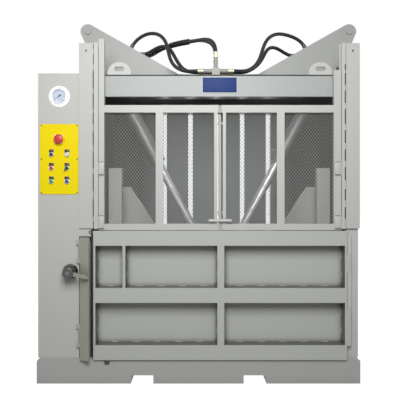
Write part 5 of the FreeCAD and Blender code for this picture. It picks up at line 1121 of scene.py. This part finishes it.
# %% Shoe plates
SHOE_BACK = GUIDE_FACE - 0.0004
JOINT_HALF = 0.0016
plates, joints = bmesh.new(), bmesh.new()
for left, right in ((-0.600, -0.568), (0.820, 0.852)):
    for bottom, top in ((0.935, 1.011), (1.258, 1.334)):
        block(plates, (left, GUIDE_FACE - 0.0016, bottom), (right, SHOE_BACK, top), 0.0004)
        for level in (bottom, top):
            low = (left, GUIDE_FACE - 0.0018, level - JOINT_HALF)
            block(joints, low, (right, SHOE_BACK, level + JOINT_HALF))
piece("shoe_plates", plates, "machine_paint", "gate")
piece("shoe_joints", joints, "seam_dark", "gate")
print("shoe plates made")

# %% [markdown]
# ## Floor, backdrop and light
# The photograph is a cut-out on white. A floor that glows only for the camera, and in mirrors and glass, is
# white without lending the baler light. The world does the same, with a faint even fill besides. Four soft
# lamps give the studio light: one above the front, which leaves the foot darker than the head, one at each
# side and one behind.

# %% Floor
floor_bm = bmesh.new()
bmesh.ops.create_grid(floor_bm, x_segments=1, y_segments=1, size=40.0)
floor_mesh = bpy.data.meshes.new("floor")
floor_bm.to_mesh(floor_mesh)
floor_bm.free()
floor = bpy.data.objects.new("floor", floor_mesh)
bpy.context.scene.collection.objects.link(floor)
floor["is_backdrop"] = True

FLOOR_GLOW = 1.0
MATT = {"Base Color": (0.20, 0.20, 0.20), "Roughness": 0.9, "Specular IOR Level": 0.0}
floor_finish = Finish("studio_floor", MATT)
seen = floor_finish.node("ShaderNodeLightPath", output="Is Camera Ray")
mirrored = floor_finish.node("ShaderNodeLightPath", output="Is Glossy Ray")
through = floor_finish.node("ShaderNodeLightPath", output="Is Transmission Ray")
shown = seen.most(mirrored).most(through)
floor_finish.set({"Emission Color": (1.0, 1.0, 1.0), "Emission Strength": shown * FLOOR_GLOW})
floor_mesh.materials.append(floor_finish.material)
print("floor laid")

# %% World
WORLD_FILL = 0.11
world = bpy.data.worlds.new("studio")
world.use_nodes = True
bpy.context.scene.world = world
tree = world.node_tree
back = tree.nodes["Background"]
path = tree.nodes.new("ShaderNodeLightPath")
either = tree.nodes.new("ShaderNodeMath")
either.operation = "MAXIMUM"
tree.links.new(path.outputs["Is Camera Ray"], either.inputs[0])
tree.links.new(path.outputs["Is Glossy Ray"], either.inputs[1])
any_of = tree.nodes.new("ShaderNodeMath")
any_of.operation = "MAXIMUM"
tree.links.new(either.outputs[0], any_of.inputs[0])
tree.links.new(path.outputs["Is Transmission Ray"], any_of.inputs[1])
strength = tree.nodes.new("ShaderNodeMapRange")
strength.inputs["To Min"].default_value = WORLD_FILL
strength.inputs["To Max"].default_value = 1.0
tree.links.new(any_of.outputs[0], strength.inputs["Value"])
tree.links.new(strength.outputs[0], back.inputs["Strength"])
back.inputs["Color"].default_value = (1.0, 1.0, 1.0, 1.0)
print("world fill", WORLD_FILL)


# %% Lamps
SIDE_SIZE = 3.0
BALER_MIDDLE = (0.0, 0.0, 1.1)


def soft_lamp(name, place, target, size, power):
    """A square area lamp that looks at a target."""
    data = bpy.data.lights.new(name, "AREA")
    data.size = size
    data.energy = power
    lamp = bpy.data.objects.new(name, data)
    lamp.location = place
    lamp.rotation_euler = (Vector(target) - Vector(place)).to_track_quat("-Z", "Y").to_euler()
    bpy.context.scene.collection.objects.link(lamp)


soft_lamp("key", (-0.12, -3.3, 2.6), (0.08, -0.4, 1.3), 1.7, 93.0)
soft_lamp("left_fill", (-5.0, 0.3, 1.7), BALER_MIDDLE, SIDE_SIZE, 115.0)
soft_lamp("right_fill", (5.0, 0.3, 1.7), BALER_MIDDLE, SIDE_SIZE, 115.0)
soft_lamp("back_fill", (0.3, 4.9, 1.7), BALER_MIDDLE, SIDE_SIZE, 120.0)
bpy.context.scene.view_settings.view_transform = "Standard"
print("lamps:", [lamp.name for lamp in bpy.data.lights])

# %% [markdown]
# ## The visual box
# The dressed baler's box is measured and printed.

# %% Sizes and finish
low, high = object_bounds()
print("visual box", tuple(low), tuple(high))
